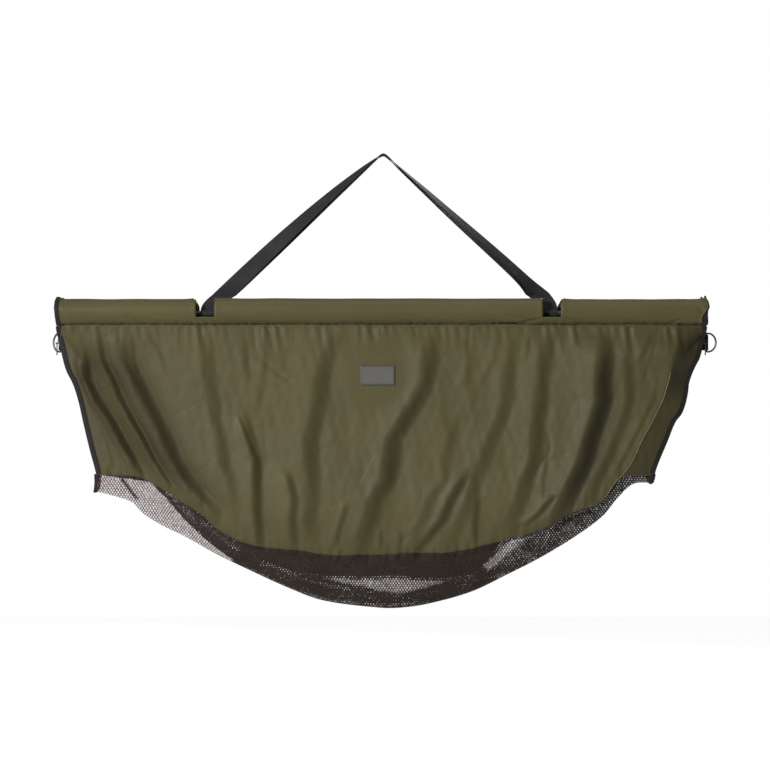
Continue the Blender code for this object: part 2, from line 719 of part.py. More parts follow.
def zip_frame(end):
    """The zip's own frame, with its origin on the end edge at the top of the zip."""
    top = Vector((END_X[end], 0.0, ZIP_TOP_Z))
    foot = Vector((CORNER_X[end], 0.0, CORNER_Z))
    up = (top - foot).normalized()
    across = Vector((0.0, float(ENDS[end]), 0.0))
    outwards = across.cross(up)
    frame = Matrix((outwards, across, up)).transposed().to_4x4()
    frame.translation = top
    return frame


def zip_length(end):
    return math.hypot(CORNER_X[end] - END_X[end], CORNER_Z - ZIP_TOP_Z) - ZIP_END_ABOVE_HEM


def zip_tape(side, end):
    """One tape: sewn to the panel's outer face, round its edge, with half of the chain at its rim."""
    length = zip_length(end) - TAPE_TOP_INSET
    outer = END_HALF_WIDTH + PANEL_THICKNESS / 2 + CLEARANCE
    chain_out = CHAIN_HALF_GAP + CHAIN_SIDE
    low, high = TAPE_MID - CHAIN_THICKNESS / 2, TAPE_MID + CHAIN_THICKNESS / 2
    near, far = CLEARANCE, CLEARANCE + TAPE_THICKNESS
    corner = TAPE_THICKNESS
    points = (
        (-TAPE_OVERLAP, outer), (near, outer), (near, chain_out), (low, chain_out),
        (low, CHAIN_HALF_GAP), (high, CHAIN_HALF_GAP), (high, chain_out), (far, chain_out),
        (far, outer + corner / 2), (far - corner / 2, outer + TAPE_THICKNESS),
        (-TAPE_OVERLAP, outer + TAPE_THICKNESS),
    )
    hand = SIDES[side] * ENDS[end]
    ring = [(x, hand * y) for x, y in points]
    made = as_mesh(outline_solid(f"{side}_zip_tape_{end}", ring, length, TAPE))
    middle = -(TAPE_TOP_INSET + length / 2)
    made.matrix_world = zip_frame(end) @ Matrix.Translation((0.0, 0.0, middle))
    return made


def slider_outline():
    """The slider's section: two plates with turned-in lips, joined by a thin neck."""
    lip_in = CHAIN_HALF_GAP + CHAIN_SIDE + SLIDER_SIDE_CLEARANCE
    half = lip_in + SLIDER_LIP
    chain = CHAIN_THICKNESS / 2 + SLIDER_SIDE_CLEARANCE
    slot = TAPE_THICKNESS / 2 + SLIDER_SIDE_CLEARANCE
    face = chain + SLIDER_PLATE
    neck = SLIDER_NECK / 2
    quarter = (
        (neck, chain), (lip_in, chain), (lip_in, slot), (half, slot), (half, face),
    )
    upper = [(depth, y) for y, depth in quarter]
    outline = upper + [(depth, -y) for depth, y in reversed(upper)]
    lower = [(-depth, -y) for depth, y in upper] + [(-depth, y) for depth, y in reversed(upper)]
    return [(TAPE_MID + depth, y) for depth, y in outline + lower]


def bail_points(reach):
    side = PULL_WIDTH / 2 + CLEARANCE + BAIL_WIRE / 2
    root = reach - BAIL_REACH - BAIL_WIRE / 2
    return ((root, -side), (reach, -side), (reach, side), (root, side))


def wire(name, points, diameter, finish, cyclic=False, resolution=1):
    curve = bpy.data.curves.new(name, "CURVE")
    curve.dimensions = "3D"
    curve.bevel_depth = diameter / 2
    curve.bevel_resolution = resolution
    curve.use_fill_caps = not cyclic
    spline = curve.splines.new("POLY")
    spline.points.add(len(points) - 1)
    for point, place in zip(spline.points, points):
        point.co = (*place, 1.0)
    spline.use_cyclic_u = cyclic
    return place_object(name, curve, finish)


def slider_place(end):
    middle = -(SLIDER_TOP_INSET + SLIDER_LENGTH / 2)
    return zip_frame(end) @ Matrix.Translation((0.0, 0.0, middle))


def bail_axis():
    """How far out from the zip's edge the bar of the slider's bail is."""
    return TAPE_MID + CHAIN_THICKNESS / 2 + SLIDER_SIDE_CLEARANCE + SLIDER_PLATE + BAIL_REACH


def zip_slider(end):
    made = as_mesh(outline_solid(f"zip_slider_{end}", slider_outline(), SLIDER_LENGTH, GUNMETAL))
    made.matrix_world = slider_place(end)
    points = [(x, y, 0.0) for x, y in bail_points(bail_axis())]
    bail = as_mesh(wire(f"bail_{end}", points, BAIL_WIRE, GUNMETAL))
    bail.matrix_world = slider_place(end)
    SLING.objects.unlink(bail)
    CUTTERS.objects.link(bail)
    cut(made, hide_cutter(bail), "UNION")
    return made


def zip_pull(end):
    """A cast tab that hangs from the bail by a round eye, with a wider grip below."""
    eye = BAIL_WIRE / 2 + PULL_EYE_CLEARANCE
    outer = eye + PULL_EYE_WALL
    half = PULL_THICKNESS / 2
    turns = np.linspace(0, 2 * math.pi, POLE_SEGMENTS, endpoint=False)
    open_angle = math.asin(half / outer)
    arc = np.linspace(-math.pi / 2 + open_angle, 1.5 * math.pi - open_angle, POLE_SEGMENTS)
    ring = [(outer * math.cos(a), outer * math.sin(a)) for a in arc]
    ring += [(-half, -PULL_LENGTH), (half, -PULL_LENGTH)]
    hole = [(eye * math.cos(a), eye * math.sin(a)) for a in turns]
    made = as_mesh(outline_solid(f"zip_pull_{end}", ring, PULL_WIDTH, GUNMETAL, hole=hole))
    grip_top = PULL_LENGTH / 2
    spread = PULL_GRIP_WIDTH / 2
    for vert in made.data.vertices:
        if vert.co.y < -grip_top:
            vert.co.z = math.copysign(spread, vert.co.z)
    axis_world = slider_place(end) @ Vector((bail_axis(), 0.0, 0.0))
    made.matrix_world = Matrix.Translation(axis_world) @ Matrix.Rotation(math.pi / 2, 4, "X")
    return made


def end_patch(end):
    """A folded patch of tape sewn round the bottom of the sling's end, below the zip."""
    depth = BASE_LEFT_END_DEPTH if end == "left" else BASE_RIGHT_END_DEPTH
    half = END_HALF_WIDTH + PANEL_THICKNESS / 2 + CLEARANCE + PATCH_THICKNESS / 2
    heights = (CORNER_Z + ZIP_END_ABOVE_HEM / 2, CORNER_Z, CORNER_Z - depth - BASE_THICKNESS)
    outwards = ENDS[end]

    def place(across, down):
        wrap = PATCH_WRAP
        path = across * 2 * (wrap + half)
        height = heights[round(down * (len(heights) - 1))]
        face = end_x(end, height) + outwards * (CLEARANCE + PATCH_THICKNESS)
        if path < wrap:
            x, y = face - outwards * (wrap - path), -half
        elif path <= wrap + 2 * half:
            x, y = face, path - wrap - half
        else:
            x, y = face - outwards * (path - wrap - 2 * half), half
        return Vector((x, y, height))

    rows = len(heights) - 1
    return sheet(f"zip_end_patch_{end}", place, PATCH_COLUMNS, rows, PATCH_THICKNESS, TAPE)


# D-rings on webbing tabs

def tab_reach(end):
    return LEFT_TAB_REACH if end == "left" else RIGHT_TAB_REACH


def tab_inner_y():
    """Middle of the tab's inner layer, which lies on the rear zip tape."""
    tape_face = END_HALF_WIDTH + PANEL_THICKNESS / 2 + CLEARANCE + TAPE_THICKNESS
    return tape_face + CLEARANCE + TAB_THICKNESS / 2


def tab_turn_radius():
    return RING_WIRE / 2 + CLEARANCE + TAB_THICKNESS / 2


def ring_axis(end):
    x = END_X[end] + ENDS[end] * tab_reach(end)
    return Vector((x, tab_inner_y() + tab_turn_radius(), RING_Z))


def ring_tab(end):
    outwards = ENDS[end]
    axis = ring_axis(end)
    radius = tab_turn_radius()
    start = END_X[end] - outwards * TAB_SEWN_LENGTH
    second = tab_inner_y() + TAB_THICKNESS + CLEARANCE
    inner = [(start, tab_inner_y())]
    turn = [
        (axis.x + outwards * radius * math.sin(angle), axis.y - radius * math.cos(angle))
        for angle in np.linspace(0, math.pi, TAB_TURN_ROWS + 1)
    ]
    outer = [(axis.x - outwards * TAB_TAPER, second), (start, second)]
    path = inner + turn + outer
    half = TAB_HEIGHT / 2

    def place(across, along):
        x, y = path[round(along * (len(path) - 1))]
        return Vector((x, y, RING_Z + (2 * across - 1) * half))

    return sheet(f"ring_tab_{end}", place, 1, len(path) - 1, TAB_THICKNESS, WEBBING)


def d_ring(end):
    """A bent-wire D: a straight bar in the tab, two rounded corners and a half-round bow."""
    half = (RING_HEIGHT - RING_WIRE) / 2
    depth = RING_DEPTH - RING_WIRE
    angles = np.linspace(-math.pi / 2, math.pi / 2, RING_ARC_POINTS)
    straight = depth - half * RING_BOW_SHARE
    bow = [
        (straight + (depth - straight) * math.cos(a), half * math.sin(a)) for a in angles
    ]
    corner = RING_CORNER / 3
    bar = [(0.0, half - RING_CORNER / 2), (0.0, -half + RING_CORNER / 2)]
    points = [(corner, -half)] + bow + [(corner, half)] + bar
    made = wire(
        f"d_ring_{end}", [(x, 0.0, z) for x, z in points], RING_WIRE, GUNMETAL, cyclic=True
    )
    axis = ring_axis(end)
    made.location = axis
    turn = LEFT_RING_TURN if end == "left" else 0.0
    made.rotation_euler = (0.0, 0.0, 0.0 if end == "right" else math.pi - turn)
    return made


# Blank label, sewn flat on the front panel

def label_middle_z():
    return SLEEVE_BOTTOM_Z - LABEL_BELOW_SLEEVE


def label():
    lift = PANEL_THICKNESS / 2 + LABEL_LIFT + LABEL_THICKNESS / 2

    def place(across, down):
        x = SLING_SHIFT + LABEL_SHIFT + (across - 0.5) * LABEL_WIDTH
        height = label_middle_z() + (0.5 - down) * LABEL_HEIGHT
        share = (x - end_x("left", height)) / (end_x("right", height) - end_x("left", height))
        return Vector((x, -panel_half_width("front", share, height) - lift, height))

    return sheet("label", place, LABEL_COLUMNS, LABEL_ROWS, LABEL_THICKNESS, LABEL)


for side in SIDES:
    sleeve(side)
    floats(side)
    pole(side)
    panel(side)
    strap(side)
    for end in ENDS:
        pole_cap(side, end)
        sleeve_binding(side, end)
        strap_loop(side, end)
        zip_tape(side, end)
mesh_base()
label()
for end in ENDS:
    zip_slider(end)
    zip_pull(end)
    end_patch(end)
    ring_tab(end)
    d_ring(end)
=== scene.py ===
import math

import bpy
import numpy as np
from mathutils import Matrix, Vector


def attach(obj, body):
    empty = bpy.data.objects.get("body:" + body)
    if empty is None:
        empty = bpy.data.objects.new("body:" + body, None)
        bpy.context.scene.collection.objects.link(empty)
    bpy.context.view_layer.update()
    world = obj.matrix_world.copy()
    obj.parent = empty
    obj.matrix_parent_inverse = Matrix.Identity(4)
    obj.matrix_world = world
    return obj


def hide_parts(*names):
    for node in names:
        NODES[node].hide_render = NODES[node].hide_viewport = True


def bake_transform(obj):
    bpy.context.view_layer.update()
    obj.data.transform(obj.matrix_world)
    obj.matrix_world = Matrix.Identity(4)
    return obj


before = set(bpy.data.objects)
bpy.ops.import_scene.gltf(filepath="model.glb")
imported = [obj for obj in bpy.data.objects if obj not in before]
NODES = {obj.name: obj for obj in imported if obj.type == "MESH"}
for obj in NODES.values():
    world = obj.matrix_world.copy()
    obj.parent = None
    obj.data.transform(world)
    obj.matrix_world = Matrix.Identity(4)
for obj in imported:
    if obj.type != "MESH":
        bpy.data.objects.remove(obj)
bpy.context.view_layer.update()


# Poles and their caps. Each sleeve holds one straight dark tube with a rubber cap pushed on each end.
# They sit inside the foam and show only in the notches, so they keep their CAD shapes and take a look.
SIDES = {"front": -1.0, "rear": 1.0}
ENDS = {"left": -1.0, "right": 1.0}
CAD_EDGE = math.radians(35)


def material(name):
    """An empty look: one shader that feeds the output."""
    made = bpy.data.materials.new(name)
    made.use_nodes = True
    tree = made.node_tree
    tree.nodes.clear()
    out = tree.nodes.new("ShaderNodeOutputMaterial")
    shader = tree.nodes.new("ShaderNodeBsdfPrincipled")
    tree.links.new(shader.outputs[0], out.inputs["Surface"])
    return made, tree, shader


def feed(tree, made, inputs):
    """Join each named input of a node to a socket, or set it to a value."""
    for key, value in inputs.items():
        if isinstance(value, bpy.types.NodeSocket):
            tree.links.new(value, made.inputs[key])
        else:
            made.inputs[key].default_value = value


def node(tree, kind, inputs=None, **settings):
    """A new node, with its settings made before its inputs are fed."""
    made = tree.nodes.new(kind)
    for key, value in settings.items():
        setattr(made, key, value)
    feed(tree, made, inputs or {})
    return made


def coordinates(tree, kind):
    """The place on a piece: Object for the sling's own metres, UV for its own map."""
    return node(tree, "ShaderNodeTexCoord").outputs[kind]


def maths(tree, operation, first, second=0.0, third=0.0):
    """One step of arithmetic on up to three values."""
    made = node(tree, "ShaderNodeMath", {0: first, 1: second, 2: third}, operation=operation)
    return made.outputs[0]


def mixed(tree, share, first, second):
    """The colour at a share of the way from the first to the second."""
    return node(tree, "ShaderNodeMix", {0: share, 6: first, 7: second}, data_type="RGBA").outputs[2]


def spread(tree, value, low, high, to_low=0.0, to_high=1.0):
    """The value's place between low and high, carried over to the second range."""
    made = node(tree, "ShaderNodeMapRange", {
        "Value": value, "From Min": low, "From Max": high, "To Min": to_low, "To Max": to_high,
    })
    return made.outputs[0]


def from_noise(tree, noise, low, high):
    """A noise's usual range of 0.3 to 0.7, carried over to low and high."""
    return spread(tree, noise, 0.3, 0.7, low, high)


def new_group(name, inputs, outputs):
    """An empty shader group with named inputs and outputs."""
    tree = bpy.data.node_groups.new(name, "ShaderNodeTree")
    for label, kind, value in inputs:
        socket = tree.interface.new_socket(label, in_out="INPUT", socket_type=kind)
        if value is not None:
            socket.default_value = value
    for label, kind in outputs:
        tree.interface.new_socket(label, in_out="OUTPUT", socket_type=kind)
    return tree, tree.nodes.new("NodeGroupInput"), tree.nodes.new("NodeGroupOutput")


def wear_group():
    """Uneven use: a soft large change and a fine one, 24 times smaller, for colour and gloss."""
    tree, given, out = new_group(
        "uneven_use",
        [("Vector", "NodeSocketVector", None), ("Size", "NodeSocketFloat", 0.1)],
        [("Broad", "NodeSocketFloat"), ("Fine", "NodeSocketFloat")],
    )
    scale = maths(tree, "DIVIDE", 1.0, given.outputs["Size"])
    broad = node(tree, "ShaderNodeTexNoise", {
        "Vector": given.outputs["Vector"], "Scale": scale, "Detail": 2.0, "Roughness": 0.5,
    })
    fine = node(tree, "ShaderNodeTexNoise", {
        "Vector": given.outputs["Vector"], "Scale": maths(tree, "MULTIPLY", scale, 24.0), "Detail": 3.0,
    })
    feed(tree, out, {"Broad": broad.outputs[0], "Fine": fine.outputs[0]})
    return tree


WEAR = wear_group()


def wear(tree, vector, size):
    """Uneven use on a piece, with its large changes about size long."""
    made = node(tree, "ShaderNodeGroup", node_tree=WEAR)
    feed(tree, made, {"Vector": vector, "Size": size})
    return made.outputs["Broad"], made.outputs["Fine"]


def bump(tree, shader, height, distance, strength, under=None):
    """Relief from a height, on top of the relief under it."""
    made = node(tree, "ShaderNodeBump", {"Height": height, "Distance": distance, "Strength": strength})
    if under is not None:
        feed(tree, made, {"Normal": under})
    feed(tree, shader, {"Normal": made.outputs[0]})
    return made.outputs[0]


def plain_material(name, light, dark, smooth, rough, metallic=0.0, size=0.01, grain=0.00003, level=0.5):
    """A moulded or metal part: two near tones and an uneven gloss, over a fine grain."""
    made, tree, shader = material(name)
    broad, fine = wear(tree, coordinates(tree, "Object"), size)
    feed(tree, shader, {
        "Base Color": mixed(tree, broad, dark, light), "Metallic": metallic,
        "Roughness": from_noise(tree, fine, smooth, rough), "Specular IOR Level": level,
    })
    bump(tree, shader, fine, grain, 0.6)
    return made


POLE = plain_material("pole_look", (0.035, 0.035, 0.037, 1), (0.02, 0.02, 0.022, 1), 0.25, 0.4, size=0.03)
RUBBER = plain_material("rubber_look", (0.022, 0.022, 0.022, 1), (0.014, 0.014, 0.014, 1), 0.6, 0.8)


def dress(name, look):
    """A CAD node keeps its shape and takes a look."""
    mesh = NODES[name].data
    mesh.materials.clear()
    mesh.materials.append(look)
    mesh.shade_smooth()
    mesh.set_sharp_from_angle(angle=CAD_EDGE)


for side in SIDES:
    dress(f"{side}_pole", POLE)
    for end in ENDS:
        dress(f"{side}_pole_cap_{end}", RUBBER)


# Foam floats. Three round lengths of closed-cell foam in each sleeve, threaded on the pole and cut off at
# the notches, where their ends show. They are a little slimmer than the cloth drawn over them.
SLEEVE_Y, SLEEVE_Z = 0.031, -0.2892
LEFT_X, RIGHT_X = -0.6027, 0.5953
NOTCHES = {"left": (-0.3442, -0.3107), "right": (0.2923, 0.3254)}
FOAM_R, FOAM_ROUNDING, FOAM_TIP = 0.0208, 0.0035, 0.0001
END_ROOM, NOTCH_ROOM = 0.012, 0.0035


def make_mesh(name, points, faces, uv=None):
    """A smooth mesh from an array of points and a list of faces, with one UV place for each point."""
    mesh = bpy.data.meshes.new(name)
    mesh.from_pydata(points.tolist(), [], faces)
    if uv is not None:
        corner = np.zeros(len(mesh.loops), np.int32)
        mesh.loops.foreach_get("vertex_index", corner)
        layer = mesh.uv_layers.new(name="UVMap")
        layer.data.foreach_set("uv", uv[corner].astype(np.float32).ravel())
    mesh.shade_smooth()
    made = bpy.data.objects.new(name, mesh)
    bpy.context.scene.collection.objects.link(made)
    return made


def faces_inwards(points, quads):
    """Whether the sides of a closed shape point inwards: the cones from its middle to them add up to less
    than nothing."""
    a, b, c, d = (points[quads[:, k]] - points.mean(axis=0) for k in range(4))
    return np.sum(a * np.cross(b, c) + a * np.cross(c, d)) < 0


def sweep(name, path, across, section, closed=False):
    """A bar along path: at each of its points stands the section, an outline in the two directions
    across, given once or for each point. closed joins its ends, and otherwise a face closes each."""
    first, second = across
    section = np.broadcast_to(section, (len(path), *section.shape[-2:]))
    ring = path[:, None, :] + section[..., :1] * first[:, None, :] + section[..., 1:] * second[:, None, :]
    count, sides = ring.shape[:2]
    points = ring.reshape(-1, 3)
    index = np.arange(count * sides).reshape(count, sides)
    lower, upper = (index, np.roll(index, -1, axis=0)) if closed else (index[:-1], index[1:])
    quads = np.stack([lower, np.roll(lower, -1, axis=1), np.roll(upper, -1, axis=1), upper], -1)
    quads = quads.reshape(-1, 4)
    faces = quads.tolist()
    if not closed:
        faces += [index[0][::-1].tolist(), index[-1].tolist()]
    if faces_inwards(points, quads):
        faces = [face[::-1] for face in faces]
    return make_mesh(name, points, faces)


def finish_piece(made, look, replaced=()):
    """Give a piece its look, hang it on the sling's body, and hide the CAD parts that it stands in for."""
    made.data.materials.clear()
    made.data.materials.append(look)
    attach(made, "sling")
    if replaced:
        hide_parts(*replaced)


FOAM = plain_material("foam_look", (0.06, 0.06, 0.062, 1), (0.04, 0.04, 0.042, 1), 0.85, 0.95,
                      size=0.02, grain=0.0004, level=0.2)


def foam(side, place, low, high):
    """A round bar along x: circles at shares of its length, whose radius falls off as a square over the
    rounding at each end, down to a tip that one last face closes."""
    length = high - low
    share = np.concatenate([[0, 0, 0, 0.004, 0.012], np.linspace(0.02, 0.98, 40), [0.988, 0.996, 1, 1, 1]])
    edge = np.minimum(share, 1 - share) * length
    radius = FOAM_R - FOAM_ROUNDING * (1 - np.clip(edge / FOAM_ROUNDING, 0, 1)) ** 2
    radius[[0, -1]] = FOAM_TIP
    radius[[1, -2]] = FOAM_R * 0.5
    turn = np.linspace(0, 2 * math.pi, 48, endpoint=False)
    path = np.stack([low + share * length, 0 * share + SIDES[side] * SLEEVE_Y, 0 * share + SLEEVE_Z], -1)
    circle = np.stack([np.cos(turn), np.sin(turn)], -1)
    across = np.tile([0.0, 1.0, 0.0], (len(path), 1))
    upward = np.tile([0.0, 0.0, 1.0], (len(path), 1))
    made = sweep(f"{side}_foam_{place}", path, (across, upward), radius[:, None, None] * circle)
    finish_piece(made, FOAM, [f"{side}_float_{place}"])


for side in SIDES:
    foam(side, "left", LEFT_X + END_ROOM, NOTCHES["left"][0] - NOTCH_ROOM)
    foam(side, "middle", NOTCHES["left"][1] + NOTCH_ROOM, NOTCHES["right"][0] - NOTCH_ROOM)
    foam(side, "right", NOTCHES["right"][1] + NOTCH_ROOM, RIGHT_X - END_ROOM)


# Sleeve covers. Each is one tube of olive coated cloth drawn over the foam, closed at both ends, cut open
# over the pole at two notches and sewn to its panel along the bottom.
EDGES = {"left": LEFT_X, "right": RIGHT_X}
SLEEVE_R, SLEEVE_CLOTH = 0.0247, 0.0009
END_INSET, COLUMN_STEP = 0.003, 0.004
NOTCH_LIP = -0.3006
POLE_Z, LOOP_R = -0.2931, 0.0061
STRAP_TOP_Z, STRAP_LOW_Y, STRAP_ROOM = -0.2587, 0.005, 0.0022
TINY = 1e-6
SLEEVE_SEED = {"front": 11, "rear": 23}

# How deep the gathers at the seam, the soft waves, the slanting ones and the sag outside the notches are
SEAM_TUCK, SOFT_WAVE, SLANT_WAVE, OUTER_SAG = 0.0009, 0.00045, 0.0004, 0.0013

# How far a notch's hem stands up and reaches, and how far its outer lip flares
HEM_RISE, HEM_REACH, NOTCH_PINCH, NOTCH_FLARE = 0.0005, 0.006, 0.0003, 0.0062


def eased(share):
    """0 to 1 with level ends: three times the square less twice the cube."""
    share = np.clip(share, 0.0, 1.0)
    return share * share * (3 - 2 * share)


def between(low, high, share):
    """The value at a share of the way from low to high."""
    return low + (high - low) * share


def both_ends(share, run, first=0.0, last=0.0):
    """1 along a line, eased off over a run at each end. first and last are the shares of the easing that
    are already done at the very ends."""
    return eased(share / run + first) * eased((1 - share) / run + last)


def ripple(x, size, seed):
    """A smooth uneven line between about -1 and 1: six sines added, each near size long."""
    rng = np.random.default_rng(seed)
    total = np.zeros_like(x)
    for _ in range(6):
        length = size * rng.uniform(0.7, 2.0)
        total += np.sin(2 * math.pi * x / length + rng.uniform(0, 2 * math.pi))
    return total / 3.2


def ripple_field(x, z, size, seed, stretch=1.0):
    """Smooth uneven ground: nine sine waves added, each near size long and turned its own way.
    stretch makes the bumps longer along z than along x."""
    rng = np.random.default_rng(seed)
    total = np.zeros_like(x)
    for _ in range(9):
        turn = rng.uniform(0, 2 * math.pi)
        wave = 2 * math.pi / (size * rng.uniform(0.7, 1.8))
        total += np.sin(wave * (x * math.cos(turn) + z / stretch * math.sin(turn)) + rng.uniform(0, 7))
    return total / 4.5


def grid(name, points, uv=None, keep=None, flip=False):
    """A sheet through points, rows by columns by 3. keep says which of its quads to make, and flip turns
    them over."""
    rows, columns = points.shape[:2]
    index = np.arange(rows * columns).reshape(rows, columns)
    quads = np.stack([index[:-1, :-1], index[:-1, 1:], index[1:, 1:], index[1:, :-1]], -1)
    if keep is not None:
        quads = quads[keep]
    quads = quads.reshape(-1, 4)
    if flip:
        quads = quads[:, ::-1]
    used = np.unique(quads)
    place = np.zeros(rows * columns, np.int64)
    place[used] = np.arange(len(used))
    flat_uv = None if uv is None else uv.reshape(-1, 2)[used]
    return make_mesh(name, points.reshape(-1, 3)[used], place[quads].tolist(), flat_uv)


def thicken(made, wall):
    """Give a sheet its wall, half of it to each side."""
    solid = made.modifiers.new("thickness", "SOLIDIFY")
    solid.thickness = wall
    solid.offset = 0.0


def weave_group():
    """Plain weave: the product of two sines, one along each yarn, whose sign says which yarn is over and
    whose size is the height. The pitch is in metres on the map."""
    tree, given, out = new_group(
        "plain_weave",
        [("Vector", "NodeSocketVector", None), ("Pitch", "NodeSocketFloat", 0.0006)],
        [("Height", "NodeSocketFloat"), ("Over", "NodeSocketFloat")],
    )
    scale = maths(tree, "DIVIDE", 1.0, given.outputs["Pitch"])
    scaled = node(tree, "ShaderNodeVectorMath", {0: given.outputs["Vector"], "Scale": scale},
                  operation="SCALE")
    parts = node(tree, "ShaderNodeSeparateXYZ", {0: scaled.outputs[0]})
    warp, weft = [maths(tree, "SINE", maths(tree, "MULTIPLY", parts.outputs[k], math.pi)) for k in range(2)]
    over = maths(tree, "MULTIPLY", warp, weft)
    feed(tree, out, {"Height": maths(tree, "ABSOLUTE", over), "Over": spread(tree, over, -1.0, 1.0)})
    return tree


WEAVE = weave_group()


def weave(tree, vector, pitch):
    """Plain weave on a piece."""
    made = node(tree, "ShaderNodeGroup", node_tree=WEAVE)
    feed(tree, made, {"Vector": vector, "Pitch": pitch})
    return made.outputs["Height"], made.outputs["Over"]


# Painted shade: the near black that the cloth is darkened towards where its attribute "shade" says light is
# kept out
PAINTED_SHADE_COLOUR = (0.004, 0.003, 0.001, 1.0)
CLOTH_YARN, CLOTH_CREASE = 0.0007, 0.0005


def cloth_material(name, light, dark):
    """A fine weave under a thin, slightly satin coating, with faint creases from packing. The attribute
    "shade" paints shade into its colour: darker in the folds, near the hem, towards both ends, beside the
    left zip and behind the pleat, where the light is kept out."""
    made, tree, shader = material(name)
    place = coordinates(tree, "Object")
    height, over = weave(tree, coordinates(tree, "UV"), CLOTH_YARN)
    broad, _ = wear(tree, place, 0.12)
    shade = maths(tree, "MULTIPLY_ADD", over, 0.15, from_noise(tree, broad, 0.0, 0.85))
    # Painted shade: the attribute "shade" darkens the cloth's colour towards a near black
    deep = node(tree, "ShaderNodeAttribute", attribute_name="shade").outputs["Fac"]
    feed(tree, shader, {
        "Base Color": mixed(tree, deep, mixed(tree, shade, dark, light), PAINTED_SHADE_COLOUR),
        "Roughness": from_noise(tree, broad, 0.50, 0.62), "Sheen Weight": 0.06, "Sheen Roughness": 0.5,
        "Specular IOR Level": 0.22,
    })
    cell = node(tree, "ShaderNodeTexVoronoi", {"Vector": place, "Scale": 9.0, "Randomness": 1.0},
                feature="DISTANCE_TO_EDGE")
    stretched = node(tree, "ShaderNodeMapping", {"Vector": place, "Scale": (1.0, 1.0, 0.35)})
    small = node(tree, "ShaderNodeTexNoise", {"Vector": stretched.outputs[0], "Scale": 38.0, "Detail": 2.0})
    lines = spread(tree, cell.outputs["Distance"], 0.0, 0.035)
    buckled = maths(tree, "MULTIPLY_ADD", small.outputs[0], 1.6, lines)
    folded = bump(tree, shader, buckled, CLOTH_CREASE, 0.35)
    bump(tree, shader, height, 0.00008, 0.35, folded)
    return made


OLIVE = cloth_material("coated_olive_cloth_look", (0.080, 0.070, 0.0250, 1.0), (0.066, 0.057, 0.0193, 1.0))


def sleeve_columns():
    """Places along the sleeve, about a column step apart, that fall on the notches' edges."""
    stops = [LEFT_X + END_INSET, *NOTCHES["left"], *NOTCHES["right"], RIGHT_X - END_INSET]
    runs = [
        np.linspace(low, high, max(6, round((high - low) / COLUMN_STEP)) + 1)[:-1]
        for low, high in zip(stops, stops[1:])
    ]
    return np.concatenate([*runs, stops[-1:]])


# Small creases of the front cover: each a line of (x, z) points, its depth and half width in millimetres
SLEEVE_CREASES = (
    (((-0.490, -0.300), (-0.472, -0.305), (-0.458, -0.312)), 1.2, 2.4),
    (((-0.474, -0.297), (-0.452, -0.306), (-0.440, -0.312)), 1.0, 2.6),
    (((-0.436, -0.303), (-0.421, -0.307), (-0.410, -0.313)), 1.1, 2.4),
    (((-0.385, -0.306), (-0.372, -0.312)), 0.8, 2.0),
    (((-0.352, -0.302), (-0.340, -0.306), (-0.326, -0.3125)), 1.3, 2.2),
    (((-0.330, -0.302), (-0.315, -0.307), (-0.303, -0.313)), 1.3, 2.2),
    (((-0.307, -0.299), (-0.292, -0.305), (-0.281, -0.312)), 1.0, 2.6),
    (((0.205, -0.3125), (0.235, -0.3135), (0.262, -0.3105), (0.291, -0.3025)), 1.8, 2.6),
    (((0.222, -0.297), (0.248, -0.301), (0.270, -0.308)), 1.1, 3.2),
    (((0.236, -0.286), (0.262, -0.292), (0.290, -0.2955)), 1.1, 3.4),
    (((0.262, -0.276), (0.291, -0.283)), 0.8, 3.0),
    (((0.327, -0.300), (0.345, -0.306), (0.362, -0.313)), 1.0, 2.4),
    (((0.525, -0.3135), (0.542, -0.306), (0.556, -0.3025)), 1.4, 2.2),
    (((-0.594, -0.286), (-0.586, -0.300), (-0.583, -0.312)), 1.2, 3.0),
    (((0.570, -0.272), (0.580, -0.283), (0.587, -0.296)), 1.0, 3.0),
)


def line_distance(x, z, line):
    """Distance to a line of (x, z) points, and how far along it the nearest place is, as a share."""
    nearest, share = np.full_like(x, 1e3), np.zeros_like(x)
    count = len(line) - 1
    for k, ((x0, z0), (x1, z1)) in enumerate(zip(line, line[1:])):
        run = (x1 - x0) ** 2 + (z1 - z0) ** 2
        t = np.clip(((x - x0) * (x1 - x0) + (z - z0) * (z1 - z0)) / run, 0, 1)
        far = np.hypot(x - between(x0, x1, t), z - between(z0, z1, t))
        share = np.where(far < nearest, (k + t) / count, share)
        nearest = np.minimum(nearest, far)
    return nearest, share


# How far each end edge stands out, against the height from -1 at the seam to 1 at the top, and the height
# and the inward reach of its pinched top corner
END_BULGE = {
    "left": ((-1, -0.6, -0.1, 0.35, 0.8, 1), (0.0, 0.0, 0.0010, 0.0020, 0.0012, 0.0)),
    "right": ((-1, -0.85, -0.3, 0.0, 0.33, 0.7, 1), (0.0018, 0.0018, 0.0, 0.0004, 0.0034, 0.002, -0.001)),
}
END_PEAK = {"left": (0.0016, 0.007), "right": (0.0040, 0.012)}
PEAK_TURN, PEAK_WIDTH = 1.62, 0.30


def end_bulge(end, up):
    """How far the sleeve's end edge stands out at a height, read off its table."""
    return np.interp(up, *END_BULGE[end])


def end_peak(end, turn, inwards):
    """The pinched top corner of the sleeve's end: a bell round the sleeve that dies off inwards."""
    height, reach = END_PEAK[end]
    return height * np.exp(-((turn - PEAK_TURN) / PEAK_WIDTH) ** 2) * np.exp(-inwards / reach)


def front_creases(x, z):
    """Depth of the front cover's creases: a narrow valley along each line, with a low lip beside it."""
    total = np.zeros_like(x)
    for line, depth, width in SLEEVE_CREASES:
        near, share = line_distance(x, z, line)
        away = near / (width * 0.001)
        shape = np.exp(-(away**2)) - 0.35 * np.exp(-(((away - 2.0) / 0.9) ** 2))
        total += depth * 0.001 * both_ends(share, 0.3, 0.25, 0.25) * shape
    return total


